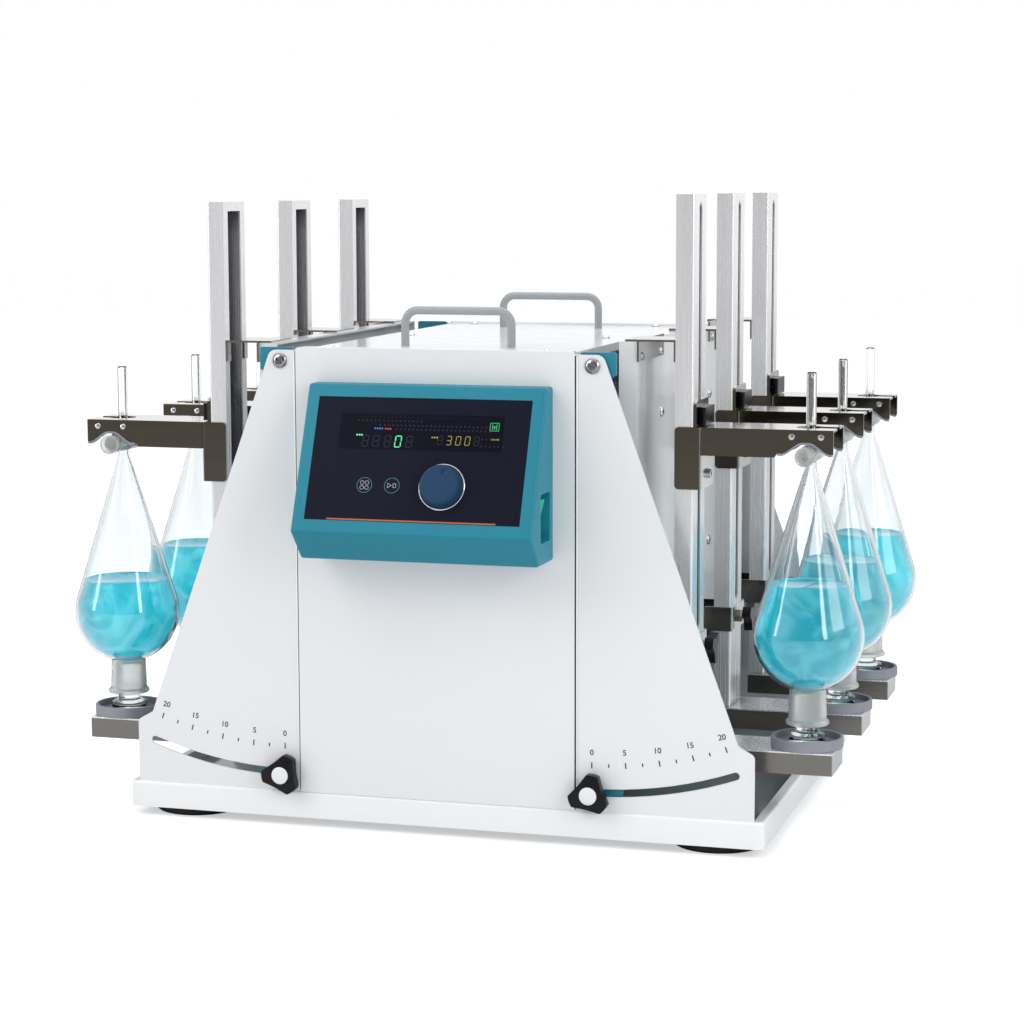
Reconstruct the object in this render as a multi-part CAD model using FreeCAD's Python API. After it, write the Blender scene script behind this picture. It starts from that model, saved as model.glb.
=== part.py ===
import FreeCAD, Part
import math
import os
from FreeCAD import Vector

# Separating funnel shaker, in millimetres.
# X runs to the right of the control panel, Y runs from the front to the back, Z runs up.
# The origin lies on the bench, under the middle of the whole machine.
# Depths are first counted from the front face of the front wing panel, towards the back.

# Clearances, how near counts as touching, and how far a cut runs past the face that it opens
running = 0.05
seat = 0.3
touch = 0.01
overrun = 1.0

# Base tray and feet
base_side = 9.5
base_edge = 25.6
base_overhang = 2.5
base_rim = 10.0
base_recess = 12.0
base_floor = 2.0
base_corner = 8.0
base_round = 3.0
foot_height = 9.0
foot_radius = 45.0
foot_inset_x = 52.5
foot_inset_y = 50.0
foot_boss_radius = 14.0
foot_chamfer = 3.0

# Wing panels, which carry the tilt scale
body_depth = 486.6
panel_sheet = 2.0
ear_margin = 17.592
ear_height = 70.1
ear_step = 15.5
ear_rise = 8.7
wing_top_half = 163.5
wing_over_pivot = 10.3
wing_corner = 9.0
ear_corner = 6.0
ear_hollow = 3.0

# Tilt axis and lock
pivot_x = 153.6
pivot_height = 417.7
lock_height = 17.7
tilt_range = 20.0
pivot_bolt_radius = 5.0
pivot_head_radius = 7.0
pivot_head_height = 4.0
pivot_collar_radius = 9.0
pivot_collar_sheet = 4.0
lock_stud_radius = 3.5
lock_slot_half = 3.75

# Covers
cover_half = 137.0
cover_sheet = 2.0
cover_over_pivot = 13.0
cover_corner = 3.0
cover_lip = 14.0
top_skirt = 6.0
top_half = 132.0
cover_screw_x = 104.0
cover_screw_inset = 22.0
cover_screw_radius = 4.5
cover_screw_height = 2.6
cover_screw_rim = 0.8
cover_screw_flat = 2.6
vent_count = 6
vent_length = 90.0
vent_width = 5.0
vent_pitch = 13.0
vent_height = 250.0

# Carry handles
handle_span = 107.0
handle_bar = 8.0
handle_rise = 38.3
handle_bend = 13.0
handle_inset = 77.0

# Control housing on the front cover
housing_half = 116.3
housing_drop = 32.3
housing_top_reach = 20.5
face_length = 144.7
face_tilt = 22.35
housing_chin_reach = 49.0
housing_rise = 162.0
housing_round = 3.0
glass_half = 103.7
glass_top = 12.6
glass_length = 119.0
glass_sheet = 3.0
glass_corner = 2.0
encoder_x = 26.4
encoder_down = 97.3
encoder_radius = 20.3
encoder_height = 13.0
encoder_shaft_radius = 3.0
encoder_shaft_length = 12.0
encoder_chamfer = 1.2
dimple_radius = 3.8
dimple_sink = 1.2
dimple_offset = 14.3
switch_reach = 27.5
switch_drop = 118.7
switch_width = 31.0
switch_length = 45.5
switch_pocket = 11.0
switch_corner = 3.0
switch_well = 7.0
rocker_width = 24.0
rocker_length = 36.0
rocker_throw = 7.0
rocker_pin = 2.0
rocker_pin_reach = 2.0
rocker_axis_sink = 3.0
rocker_crown = 6.0
rocker_back = 2.5
rocker_back_half = 9.9
rocker_edge = 1.0
rocker_swing = 1.5

# Mains inlet in the rear cover
inlet_x = 66.0
inlet_height = 60.0
inlet_width = 27.0
inlet_rise = 47.0
inlet_flange = 6.0
inlet_flange_sheet = 1.5
inlet_body = 25.0
inlet_well = 18.0
inlet_wall = 4.0
inlet_pin_spread = 7.0
inlet_pin_step = 4.0
inlet_pin_length = 15.0
inlet_pin_half_width = 1.0
inlet_pin_half_rise = 2.0

# Inner chassis
chassis_tube = 20.0
chassis_half = 118.0
mid_rail_height = 314.4
low_rail_height = 104.4
shelf_sheet = 5.0
pedestal_sheet = 14.0
pedestal_lug = 15.4
pedestal_round = 10.8

# Drive: a geared motor, a crank, a rod and a see-saw beam
drive_drop = 24.0
stroke = 36.0
rest_lead = 3.42
beam_sheet = 12.0
beam_rise = 16.0
beam_hub = 14.0
beam_hollow = 20.0
beam_end_radius = 9.0
beam_play = 1.0
beam_pin_radius = 6.0
beam_pin_half = 17.0
beam_bearing_radius = 7.0
fork_slack = 3.8
fork_plate = 8.0
fork_gap = 16.0
fork_wall = 5.0
fork_nose = 8.1
fork_web = 10.0
crank_x = 60.0
crank_height = 224.4
crank_disc_radius = 24.0
crank_disc_sheet = 10.0
crank_shaft_radius = 6.0
crank_shaft_length = 13.0
crank_pin_radius = 4.0
rod_sheet = 8.0
rod_eye_radius = 11.0
rod_pin_radius = 5.0
rod_waist = 6.6
rod_play = 2.0
crank_play = 3.0
gearbox_play = 1.0
gearbox_size = 80.0
gearbox_depth = 50.0
gearbox_corner = 8.0
motor_radius = 38.0
motor_length = 105.0
fin_count = 4
fin_start = 15.0
fin_pitch = 20.0
fin_sheet = 5.0
fin_rise = 2.0
motor_foot_half = 30.0
motor_foot_inset = 5.0

# Tilt frames
end_sheet = 4.0
end_gap = 2.0
end_inner_x = 140.0
end_outer_x = 165.0
end_ear_x = 175.0
end_ear_rise = 12.4
end_ear_height = 21.0
end_toe_x = 184.0
end_toe_drop = 11.0
end_toe_cut = 4.0
end_toe_rise = 6.0
end_corner = 4.0
end_hollow = 10.0
end_ear_corner = 2.0
tilt_rail = 20.0
rail_under_beam = 47.7
rail_over_lock = 36.7
guide_rod_x = 150.0
guide_rod_radius = 8.0
guide_rod_inset = 110.0

# Shaking carriages
carriage_inner_x = 170.0
carriage_outer_x = 187.7
carriage_sheet = 2.0
carriage_over_pivot = 21.0
carriage_bottom = 53.6
bearing_width = 36.0
bearing_height = 40.0
bearing_under_rail = 50.6
bearing_over_rail = 90.0

# Posts and their welded trays
tray_height = 60.8
post_inset = 34.4
post_depth = 53.2
post_inner_x = 223.6
post_outer_x = 241.0
post_length = 513.2
post_sheet = 1.5
post_lip = 11.0
post_bend = 2.5
post_cap = 9.0
post_slot = 12.0
post_slot_bottom = 106.6
post_slot_top = 505.6
tray_end_x = 374.6
tray_width = 60.0
tray_rise = 20.8
tray_sheet = 2.0
tray_round = 1.0

# Post fittings
strap_centre = 89.7
strap_rise = 24.2
strap_sheet = 2.5
strap_inner_x = 214.7
strap_nut_radius = 7.0
strap_nut_height = 4.5
spacer_inset = 1.0
bracket_flange = 18.5
bracket_sheet = 2.0
bracket_length = 104.0
bracket_lap = 12.0
bracket_tab_width = 8.0
bracket_tab_inset = 1.5
bracket_lead = 3.0

# Adjustable upper arms
arm_top = 299.8
arm_rise = 26.0
arm_sheet = 2.0
arm_root_x = 249.0
arm_end_x = 371.4
clamp_rise = 58.0
clamp_sheet = 2.5
clamp_tab = 24.0
clamp_corner = 4.0
clamp_bend = 3.0
tab_corner = 5.0
tab_inset = 2.0
web_spacer_half = 20.0
web_spacer_inset = 5.0
arm_lap = 0.5
notch_low = 22.2
notch_high = 11.7
notch_half = 21.5
notch_flat = 4.0
notch_shoulder = 26.0
notch_step = 3.0
notch_round = 4.0
notch_hollow = 3.0
lining_sheet = 1.8
lining_width = 4.0
lining_end = 1.0
keyhole_radius = 13.0
keyhole_slot = 14.0

# Spring catches and hand knobs
grip_length = 44.0
grip_root = 30.0
grip_rise = 16.8
grip_reach = 7.2
grip_height = 9.3
grip_edge = 1.5
catch_bolt_radius = 4.0
catch_bolt_tip = 1.0
star_radius = 15.0
star_sheet = 8.5
star_stand = 6.5
star_tip_half = 20.0
star_waist = 0.56
star_turn = 35.0
strap_stud_radius = 3.0
lock_star_radius = 21.5
lock_star_sheet = 13.0
lock_star_stand = 5.0
lock_star_turn = 20.0
lock_neck_radius = 7.0
lock_collar_radius = 8.5
lock_collar_sheet = 2.0
lock_boss_radius = 8.5
lock_boss_length = 8.0
lock_cap_radius = 7.6
lock_cap_height = 2.4

# Rubber cups and separating funnels, upside down
funnel_x = 346.0
cup_radius = 34.0
cup_wall = 3.5
cup_rise = 10.5
cup_floor = 4.0
cup_bevel = 1.0
glass_wall = 2.0
bulb_radius = 52.0
bulb_height = 104.6
cone_top = 262.6
cone_top_radius = 5.3
stem_radius = 4.7
stem_bore = 2.8
stem_top = 350.7
socket_bottom = 21.5
socket_radius = 17.9
socket_taper = 0.9
socket_rim_radius = 20.3
socket_rim_rise = 5.0
socket_bore = 14.6
socket_bore_taper = 1.6
socket_step = 1.0
socket_depth = 32.0
stopper_radius = 17.0
stopper_head = 10.0
stopper_neck_radius = 11.0
stopper_length = 30.0
stopper_taper = 1.5
stopper_bevel = 2.0
stopper_step = 1.0
stopper_flare = 0.5
seam_turn = 30.0
tap_height = 275.4
tap_radius = 8.5
tap_half = 26.0
plug_radius = 6.0
plug_nut_radius = 9.0
plug_nut_sheet = 6.0
plug_nut_bevel = 1.2
plug_nut_gap = 1.5
plug_handle_length = 30.0
plug_handle_rise = 7.0
plug_handle_sheet = 7.0
plug_handle_gap = 2.0

# Heights and depths that follow from the sizes above
base_top = foot_height + base_edge
pivot_z = base_top + pivot_height
lock_radius = pivot_height - lock_height
lock_z = pivot_z - lock_radius
wing_half_width = pivot_x + lock_radius * math.sin(math.radians(tilt_range)) + ear_margin
base_half = wing_half_width + base_side
cover_top = pivot_z + cover_over_pivot
housing_top = cover_top - housing_drop
switch_z = housing_top - switch_drop
top_plate = cover_top - cover_sheet
mid_depth = body_depth / 2
face_angle = math.radians(face_tilt)
encoder_reach = (encoder_down + encoder_radius) * math.sin(face_angle) + encoder_height * math.cos(face_angle)
front_reach = housing_top_reach + encoder_reach
rear_reach = body_depth + max(base_overhang, pivot_head_height)
y_front = (front_reach - rear_reach) / 2
beam_z = pivot_z - drive_drop
beam_angle = rest_lead / pivot_x
crank_throw = stroke / 2 * crank_x / pivot_x
crank_z = base_top + crank_height
post_middle = post_inset + post_depth / 2
stations = {"front": 0, "middle": 1, "rear": 2}
post_half = post_depth / 2
station_pitch = body_depth / 2 - post_middle
strap_bottom = strap_centre - strap_rise / 2
tray_top = base_top + tray_height
carriage_top = pivot_z + carriage_over_pivot - tray_top
rail_high = beam_z - rail_under_beam
rail_low = lock_z + rail_over_lock
bearing_upper = rail_high - bearing_under_rail - tray_top
bearing_lower = rail_low + bearing_over_rail - tray_top
arm_outer_half = post_half + seat + arm_sheet


def at(x, depth, z):
    """Point whose Y is given as a depth behind the front wing panel's face."""
    return Vector(x, y_front + depth, z)


def block(x0, x1, depth0, depth1, z0, z1):
    """Upright box between two corners."""
    low = at(min(x0, x1), min(depth0, depth1), min(z0, z1))
    return Part.makeBox(abs(x1 - x0), abs(depth1 - depth0), abs(z1 - z0), low)


def rod_x(radius, x0, x1, depth, z):
    """Cylinder along X."""
    return Part.makeCylinder(radius, x1 - x0, at(x0, depth, z), Vector(1, 0, 0))


def rod_y(radius, depth0, depth1, x, z):
    """Cylinder along Y."""
    return Part.makeCylinder(radius, depth1 - depth0, at(x, depth0, z), Vector(0, 1, 0))


def rod_z(radius, z0, z1, x, depth):
    """Cylinder along Z."""
    return Part.makeCylinder(radius, z1 - z0, at(x, depth, z0), Vector(0, 0, 1))


def rounded_wire(points, radii):
    """Closed wire through the points, each corner rounded by its own radius."""
    edges = []
    starts = []
    ends = []
    count = len(points)
    for i in range(count):
        corner = points[i]
        before = (points[i - 1] - corner).normalize()
        after = (points[(i + 1) % count] - corner).normalize()
        radius = radii[i]
        if radius <= 0:
            starts.append(corner)
            ends.append(corner)
            continue
        half = before.getAngle(after) / 2
        reach = radius / math.tan(half)
        bisector = (before + after).normalize()
        centre = corner + bisector * (radius / math.sin(half))
        starts.append(corner + before * reach)
        ends.append(corner + after * reach)
        edges.append(Part.Arc(starts[i], centre - bisector * radius, ends[i]).toShape())
    for i in range(count):
        step = starts[(i + 1) % count] - ends[i]
        if step.Length > 1e-6:
            edges.append(Part.makeLine(ends[i], starts[(i + 1) % count]))
    return Part.Wire(Part.__sortEdges__(edges))


def plate_y(outline, radii, depth0, depth1):
    """Plate whose (x, z) outline lies across Y."""
    wire = rounded_wire([at(x, depth0, z) for x, z in outline], radii)
    return Part.Face(wire).extrude(Vector(0, depth1 - depth0, 0))


def plate_x(outline, radii, x0, x1):
    """Plate whose (depth, z) outline lies across X."""
    wire = rounded_wire([at(x0, depth, z) for depth, z in outline], radii)
    return Part.Face(wire).extrude(Vector(x1 - x0, 0, 0))


def plate_z(outline, radii, z0, z1):
    """Plate whose (x, depth) outline lies across Z."""
    wire = rounded_wire([at(x, depth, z0) for x, depth in outline], radii)
    return Part.Face(wire).extrude(Vector(0, 0, z1 - z0))


def turned(profile, x, depth):
    """Solid of revolution about an upright axis, from a closed (radius, height) profile."""
    points = [at(x + radius, depth, z) for radius, z in profile]
    face = Part.Face(Part.makePolygon(points + [points[0]]))
    return face.revolve(at(x, depth, 0), Vector(0, 0, 1), 360)


def mirrored_x(shape):
    """Copy on the other side of the machine."""
    return shape.mirror(Vector(0, 0, 0), Vector(1, 0, 0))


def mirrored_y(shape):
    """Copy at the other end of the machine."""
    return shape.mirror(at(0, mid_depth, 0), Vector(0, 1, 0))


def joined(shapes):
    """One solid from touching shapes."""
    whole = shapes[0].multiFuse(shapes[1:])
    return whole.removeSplitter()


def group(shapes):
    """Separate solids kept together in one node."""
    return Part.makeCompound(shapes)


def star_outline(radius, sides=3):
    """Blunt lobes with hollow sides between them, as a wire about the origin."""
    tip_half = math.radians(star_tip_half)
    edges = []
    for i in range(sides):
        middle = math.tau * i / sides
        tips = [Vector(0, radius * math.cos(middle + a), radius * math.sin(middle + a))
                for a in (-tip_half, 0, tip_half)]
        edges.append(Part.Arc(*tips).toShape())
        following = math.tau * (i + 1) / sides - tip_half
        start = tips[2]
        end = Vector(0, radius * math.cos(following), radius * math.sin(following))
        waist = middle + math.pi / sides
        hollow = Vector(0, math.cos(waist), math.sin(waist)) * (star_waist * radius)
        edges.append(Part.Arc(start, hollow, end).toShape())
    return Part.Wire(Part.__sortEdges__(edges))


def star_knob(radius, sheet, turn):
    """Three-lobed knob that lies across X, from x = 0 outwards."""
    body = Part.Face(star_outline(radius)).extrude(Vector(sheet, 0, 0))
    body.rotate(Vector(0, 0, 0), Vector(1, 0, 0), turn)
    return body


# Base

def make_base_tray():
    """Folded tray with a rounded rim and a sunken floor, hollow underneath."""
    half = base_half
    low = -base_overhang
    high = body_depth + base_overhang
    outline = [(-half, low), (half, low), (half, high), (-half, high)]
    tray = plate_z(outline, [base_corner] * 4, foot_height, base_top)
    top_edges = [e for e in tray.Edges if e.BoundBox.ZMin > base_top - touch]
    tray = tray.makeFillet(base_round, top_edges)
    inner = half - base_rim
    recess = block(-inner, inner, low + base_rim, high - base_rim, base_top - base_recess, base_top + overrun)
    under_top = base_top - base_recess - base_floor
    hollow = block(-inner, inner, low + base_rim, high - base_rim, foot_height - overrun, under_top)
    return tray.cut(recess).cut(hollow)


def make_feet():
    """Four round rubber feet, each with a boss that reaches the tray's floor."""
    under_top = base_top - base_recess - base_floor
    lip = foot_radius - foot_chamfer
    profile = [(0, 0), (lip, 0), (foot_radius, foot_chamfer), (foot_radius, foot_height - foot_chamfer),
               (lip, foot_height), (foot_boss_radius, foot_height), (foot_boss_radius, under_top), (0, under_top)]
    x = base_half - foot_inset_x
    near = foot_inset_y
    far = body_depth - foot_inset_y
    return group([turned(profile, side * x, depth) for side in (-1, 1) for depth in (near, far)])


# Wing panels and covers

def lock_slot(side, depth0, depth1):
    """Curved slot that the lock stud runs through as a frame tilts."""
    stops = [math.radians(a) for a in (0, tilt_range / 2, tilt_range)]
    edges = []
    rims = []
    for radius in (lock_radius - lock_slot_half, lock_radius + lock_slot_half):
        rims.append([at(side * (pivot_x + radius * math.sin(a)), depth0, pivot_z - radius * math.cos(a))
                     for a in stops])
        edges.append(Part.Arc(*rims[-1]).toShape())
    for k, sign in ((0, -1), (2, 1)):
        a = stops[k] + sign * lock_slot_half / lock_radius
        tip = at(side * (pivot_x + lock_radius * math.sin(a)), depth0, pivot_z - lock_radius * math.cos(a))
        edges.append(Part.Arc(rims[0][k], tip, rims[1][k]).toShape())
    wire = Part.Wire(Part.__sortEdges__(edges))
    return Part.Face(wire).extrude(Vector(0, depth1 - depth0, 0))


def make_wing_panel(slotted):
    """Trapezoid end panel with an ear at each lower corner."""
    ear_top = base_top + ear_height
    right = [(wing_half_width, base_top), (wing_half_width, ear_top - ear_rise),
             (wing_half_width - ear_step, ear_top), (wing_top_half, pivot_z + wing_over_pivot)]
    left = [(-x, z) for x, z in reversed(right)]
    radii = [0, ear_corner, ear_hollow, wing_corner]
    panel = plate_y(right + left, radii + radii[::-1], 0, panel_sheet)
    for side in (-1, 1):
        panel = panel.cut(rod_y(pivot_bolt_radius + seat, -overrun, panel_sheet + overrun, side * pivot_x, pivot_z))
        if slotted:
            panel = panel.cut(lock_slot(side, -overrun, panel_sheet + overrun))
    return panel


def make_end_cover():
    """Middle cover plate with a lip folded over the top cover."""
    outline = [(-cover_half, base_top), (cover_half, base_top), (cover_half, cover_top), (-cover_half, cover_top)]
    plate = plate_y(outline, [0, 0, cover_corner, cover_corner], -cover_sheet, 0)
    lip_half = cover_half - cover_corner
    lip = block(-lip_half, lip_half, -cover_sheet, cover_lip, top_plate, cover_top)
    return joined([plate, lip])


def make_rear_cover():
    """End cover with vent slots and the opening for the mains inlet."""
    cover = mirrored_y(make_end_cover())
    near = body_depth - overrun
    far = body_depth + cover_sheet + overrun
    half = vent_length / 2
    rise = vent_width / 2
    for i in range(vent_count):
        z = base_top + vent_height + i * vent_pitch
        slot = [(-half, z - rise), (half, z - rise), (half, z + rise), (-half, z + rise)]
        cover = cover.cut(plate_y(slot, [rise - touch] * 4, near, far))
    return cover.cut(inlet_opening(near, far, 0))


def inlet_opening(depth0, depth1, margin):
    """Block through the rear cover and panel where the inlet sits."""
    z = base_top + inlet_height
    half = inlet_width / 2 + margin
    rise = inlet_rise / 2 + margin
    return block(inlet_x - half, inlet_x + half, depth0, depth1, z - rise, z + rise)


def make_top_cover():
    """Top sheet between the end panels, with its long edges folded down."""
    near = panel_sheet
    far = body_depth - panel_sheet
    sheet = block(-top_half, top_half, near, far, top_plate - cover_sheet, top_plate)
    skirts = []
    for side in (-1, 1):
        inner = side * (top_half - cover_sheet)
        skirts.append(block(inner, side * top_half, near + cover_lip, far - cover_lip,
                            top_plate - cover_sheet - top_skirt, top_plate - cover_sheet))
    return joined([sheet] + skirts)


def make_handles():
    """Two bent round-bar handles that stand on the top cover."""
    shapes = []
    half = handle_span / 2
    top = top_plate + handle_rise - handle_bar / 2
    for depth in (handle_inset, body_depth - handle_inset):
        bend = handle_bend
        skew = bend * (1 - math.cos(math.pi / 4))
        corners = [at(-half, depth, top_plate), at(-half, depth, top - bend),
                   at(-half + skew, depth, top - skew), at(-half + bend, depth, top)]
        others = [at(half - bend, depth, top), at(half - skew, depth, top - skew),
                  at(half, depth, top - bend), at(half, depth, top_plate)]
        path = Part.Wire([Part.makeLine(corners[0], corners[1]),
                          Part.Arc(corners[1], corners[2], corners[3]).toShape(),
                          Part.makeLine(corners[3], others[0]),
                          Part.Arc(others[0], others[1], others[2]).toShape(),
                          Part.makeLine(others[2], others[3])])
        ring = Part.Wire(Part.makeCircle(handle_bar / 2, corners[0], Vector(0, 0, 1)))
        shapes.append(path.makePipeShell([ring], True, False))
    return group(shapes)


def make_cover_screws():
    """Domed screws that hold the top cover down."""
    shapes = []
    dome = [(0, top_plate), (cover_screw_radius, top_plate), (cover_screw_radius, top_plate + cover_screw_rim),
            (cover_screw_flat, top_plate + cover_screw_height), (0, top_plate + cover_screw_height)]
    for x in (-cover_screw_x, cover_screw_x):
        for depth in (cover_screw_inset, mid_depth, body_depth - cover_screw_inset):
            shapes.append(turned(dome, x, depth))
    return group(shapes)


def make_pivot_bolts():
    """Domed bolts that the tilt frames hang on, each with a retaining collar inside."""
    shapes = []
    plate_back = panel_sheet + end_gap + end_sheet
    sphere_radius = (pivot_head_radius ** 2 + pivot_head_height ** 2) / (2 * pivot_head_height)
    for side in (-1, 1):
        x = side * pivot_x
        ball = Part.makeSphere(sphere_radius, at(x, sphere_radius - pivot_head_height, pivot_z))
        head = ball.common(rod_y(pivot_head_radius, -pivot_head_height - overrun, 0, x, pivot_z))
        shank = rod_y(pivot_bolt_radius, 0, plate_back + seat, x, pivot_z)
        collar = rod_y(pivot_collar_radius, plate_back + seat, plate_back + seat + pivot_collar_sheet, x, pivot_z)
        bolt = joined([head, shank, collar])
        shapes.append(bolt)
        shapes.append(mirrored_y(bolt))
    return group(shapes)


def make_chassis():
    """Welded tube frame that carries the covers, the motor and the beam's pedestal."""
    tube = chassis_tube
    inner = chassis_half - tube
    floor = base_top - base_recess
    top = top_plate - cover_sheet
    near = panel_sheet
    far = body_depth - panel_sheet
    mid = base_top + mid_rail_height
    low = base_top + low_rail_height
    shapes = []
    for side in (-1, 1):
        for depth in (near, far - tube):
            shapes.append(block(side * inner, side * chassis_half, depth, depth + tube, floor, top))
        for z in (mid, low):
            shapes.append(block(side * inner, side * chassis_half, near + tube, far - tube, z, z + tube))
    for depth in (near, far - tube):
        shapes.append(block(-inner, inner, depth, depth + tube, top - tube, top))
    pedestal_back = mid_depth - beam_sheet / 2 - beam_play
    pedestal_front = pedestal_back - pedestal_sheet
    shapes.append(block(-inner, inner, pedestal_front, pedestal_back, mid, mid + tube))
    lug = pedestal_lug
    outline = [(-2 * lug, mid + tube), (2 * lug, mid + tube), (lug, beam_z + lug), (-lug, beam_z + lug)]
    shapes.append(plate_y(outline, [0, 0, pedestal_round, pedestal_round], pedestal_front, pedestal_back))
    axle_end = mid_depth + beam_sheet / 2 + beam_play
    shapes.append(rod_y(beam_bearing_radius, pedestal_back, axle_end, 0, beam_z))
    shelf_near = motor_mount_depth() - tube
    shelf_far = motor_mount_depth() + gearbox_depth + motor_length
    for depth in (shelf_near, shelf_far - tube):
        shapes.append(block(-inner, inner, depth, depth + tube, low, low + tube))
    shapes.append(block(-chassis_half, chassis_half, shelf_near, shelf_far, low + tube, low + tube + shelf_sheet))
    frame = joined(shapes)
    rim = base_rim - base_overhang + seat
    for depth in (near, far - rim + panel_sheet):
        frame = frame.cut(block(-chassis_half, chassis_half, depth, depth + rim - panel_sheet, floor, base_top))
    return frame


# Control housing

def face_point(x, down, out):
    """Point on the sloping control face, out along its normal."""
    depth = -housing_top_reach - down * math.sin(face_angle) - out * math.cos(face_angle)
    z = housing_top - down * math.cos(face_angle) + out * math.sin(face_angle)
    return at(x, depth, z)


def face_box(x0, x1, down0, down1, out0, out1):
    """Box set square to the control face."""
    corners = [face_point(x0, down0, out0), face_point(x1, down0, out0),
               face_point(x1, down1, out0), face_point(x0, down1, out0)]
    face = Part.Face(Part.makePolygon(corners + [corners[0]]))
    return face.extrude(face_point(x0, down0, out1) - face_point(x0, down0, out0))


def face_rod(radius, x, down, out0, out1):
    """Cylinder square to the control face."""
    start = face_point(x, down, out0)
    return Part.makeCylinder(radius, out1 - out0, start, face_point(x, down, out1) - start)


def make_control_housing():
    """Moulded wedge with a pocket for the glass and a deep recess for the power switch."""
    top = housing_top
    bottom = top - housing_rise
    lower_reach = housing_top_reach + face_length * math.sin(face_angle)
    lower_z = top - face_length * math.cos(face_angle)
    outline = [(-cover_sheet, top), (-housing_top_reach, top), (-lower_reach, lower_z),
               (-housing_chin_reach, bottom), (-cover_sheet, bottom)]
    body = plate_x(outline, [0, 0, 0, 0, 0], -housing_half, housing_half)
    outer = [e for e in body.Edges if e.BoundBox.YMin < at(0, -cover_sheet - touch, 0).y]
    body = body.makeFillet(housing_round, outer)
    margin = seat
    pocket = face_box(-glass_half - margin, glass_half + margin, glass_top - margin,
                      glass_top + glass_length + margin, -glass_sheet, overrun)
    body = body.cut(pocket)
    body = body.cut(face_rod(encoder_shaft_radius + running, encoder_x, encoder_down,
                             -encoder_shaft_length - overrun, overrun))
    z = switch_z
    recess = [(-switch_reach - switch_width / 2, z - switch_length / 2),
              (-switch_reach + switch_width / 2, z - switch_length / 2),
              (-switch_reach + switch_width / 2, z + switch_length / 2),
              (-switch_reach - switch_width / 2, z + switch_length / 2)]
    body = body.cut(plate_x(recess, [switch_corner] * 4, housing_half - switch_pocket, housing_half + overrun))
    half = rocker_width / 2 + seat
    rise = rocker_length / 2 + rocker_swing
    well = block(housing_half - switch_pocket - switch_well, housing_half, -switch_reach - half,
                 -switch_reach + half, z - rise, z + rise)
    body = body.cut(well)
    reach = rocker_width / 2 + rocker_pin_reach + seat
    bore = rod_y(rocker_pin + running, -switch_reach - reach, -switch_reach + reach, rocker_axis_x(), z)
    return body.cut(bore)


def rocker_axis_x():
    """Where the power rocker's pin lies, under its crown."""
    return housing_half - switch_pocket - rocker_axis_sink


def make_display_glass():
    """Dark front glass with the encoder's hole."""
    corners = [face_point(x, down, -glass_sheet) for x, down in
               ((-glass_half, glass_top), (glass_half, glass_top),
                (glass_half, glass_top + glass_length), (-glass_half, glass_top + glass_length))]
    face = Part.Face(rounded_wire(corners, [glass_corner] * 4))
    sheet = face.extrude(face_point(0, 0, glass_sheet) - face_point(0, 0, 0))
    hole = face_rod(encoder_shaft_radius + running, encoder_x, encoder_down, -glass_sheet - overrun, overrun)
    return sheet.cut(hole)


def make_encoder_knob():
    """Turning knob with a finger dimple and a short shaft."""
    base = face_rod(encoder_radius, encoder_x, encoder_down, seat, encoder_height)
    rim = [e for e in base.Edges if len(e.Vertexes) == 1 and e.Length > math.pi * encoder_radius]
    top = face_point(encoder_x, encoder_down, encoder_height)
    outer = [e for e in rim if e.CenterOfMass.distanceToPoint(top) < touch]
    knob = base.makeChamfer(encoder_chamfer, outer)
    floor = face_point(encoder_x, encoder_down - dimple_offset, encoder_height - dimple_sink)
    out = face_point(0, 0, overrun) - face_point(0, 0, 0)
    dimple = Part.makeCone(dimple_radius - dimple_sink, dimple_radius + overrun, dimple_sink + overrun, floor, out)
    shaft = face_rod(encoder_shaft_radius, encoder_x, encoder_down, -encoder_shaft_length, seat)
    return joined([knob.cut(dimple), shaft])


def make_power_rocker():
    """Two-faced rocker on a cross pin, pressed to its on side."""
    z = switch_z
    axis_x = rocker_axis_x()
    half = rocker_length / 2
    crown = rocker_crown
    rise = half * math.tan(math.radians(rocker_throw))
    outline = [(axis_x - rocker_back, z - rocker_back_half), (axis_x + crown + rise, z - half),
               (axis_x + crown, z), (axis_x + crown + rise, z + half), (axis_x - rocker_back, z + rocker_back_half)]
    body = plate_y(outline, [0, rocker_edge, crown, rocker_edge, 0], -switch_reach - rocker_width / 2,
                   -switch_reach + rocker_width / 2)
    reach = rocker_width / 2 + rocker_pin_reach
    pin = rod_y(rocker_pin, -switch_reach - reach, -switch_reach + reach, axis_x, z)
    rocker = joined([body, pin])
    rocker.rotate(at(axis_x, 0, z), Vector(0, 1, 0), rocker_throw)
    return rocker


def make_power_inlet():
    """Mains inlet with its flange on the rear cover and three flat pins in a well."""
    face = body_depth + cover_sheet
    flange = inlet_opening(face, face + inlet_flange_sheet, inlet_flange)
    body = inlet_opening(body_depth - inlet_body, face, -seat)
    well = inlet_opening(face - inlet_well, face + inlet_flange_sheet + overrun, -inlet_wall)
    shell = joined([flange, body]).cut(well)
    z = base_top + inlet_height
    pins = []
    width = inlet_pin_half_width
    tall = inlet_pin_half_rise
    start = face - inlet_well
    for across, up in ((-1, -1), (1, -1), (0, 1)):
        x = inlet_x + across * inlet_pin_spread
        rise = z + up * inlet_pin_step
        pins.append(block(x - width, x + width, start, start + inlet_pin_length, rise - tall, rise + tall))
    return joined([shell] + pins)


# Drive

def motor_mount_depth():
    """Depth of the gearbox's front face, behind the beam, the rod and the crank."""
    return rod_front() + rod_sheet + crank_play + crank_disc_sheet + gearbox_play


def rod_front():
    """Depth of the connecting rod's front face, just behind the beam."""
    return mid_depth + beam_sheet / 2 + rod_play


def crank_pin_place():
    """Where the crank pin stands at rest."""
    lead = rest_lead / (stroke / 2)
    return crank_x + crank_throw * math.sqrt(1 - lead ** 2), crank_z + crank_throw * lead


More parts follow.
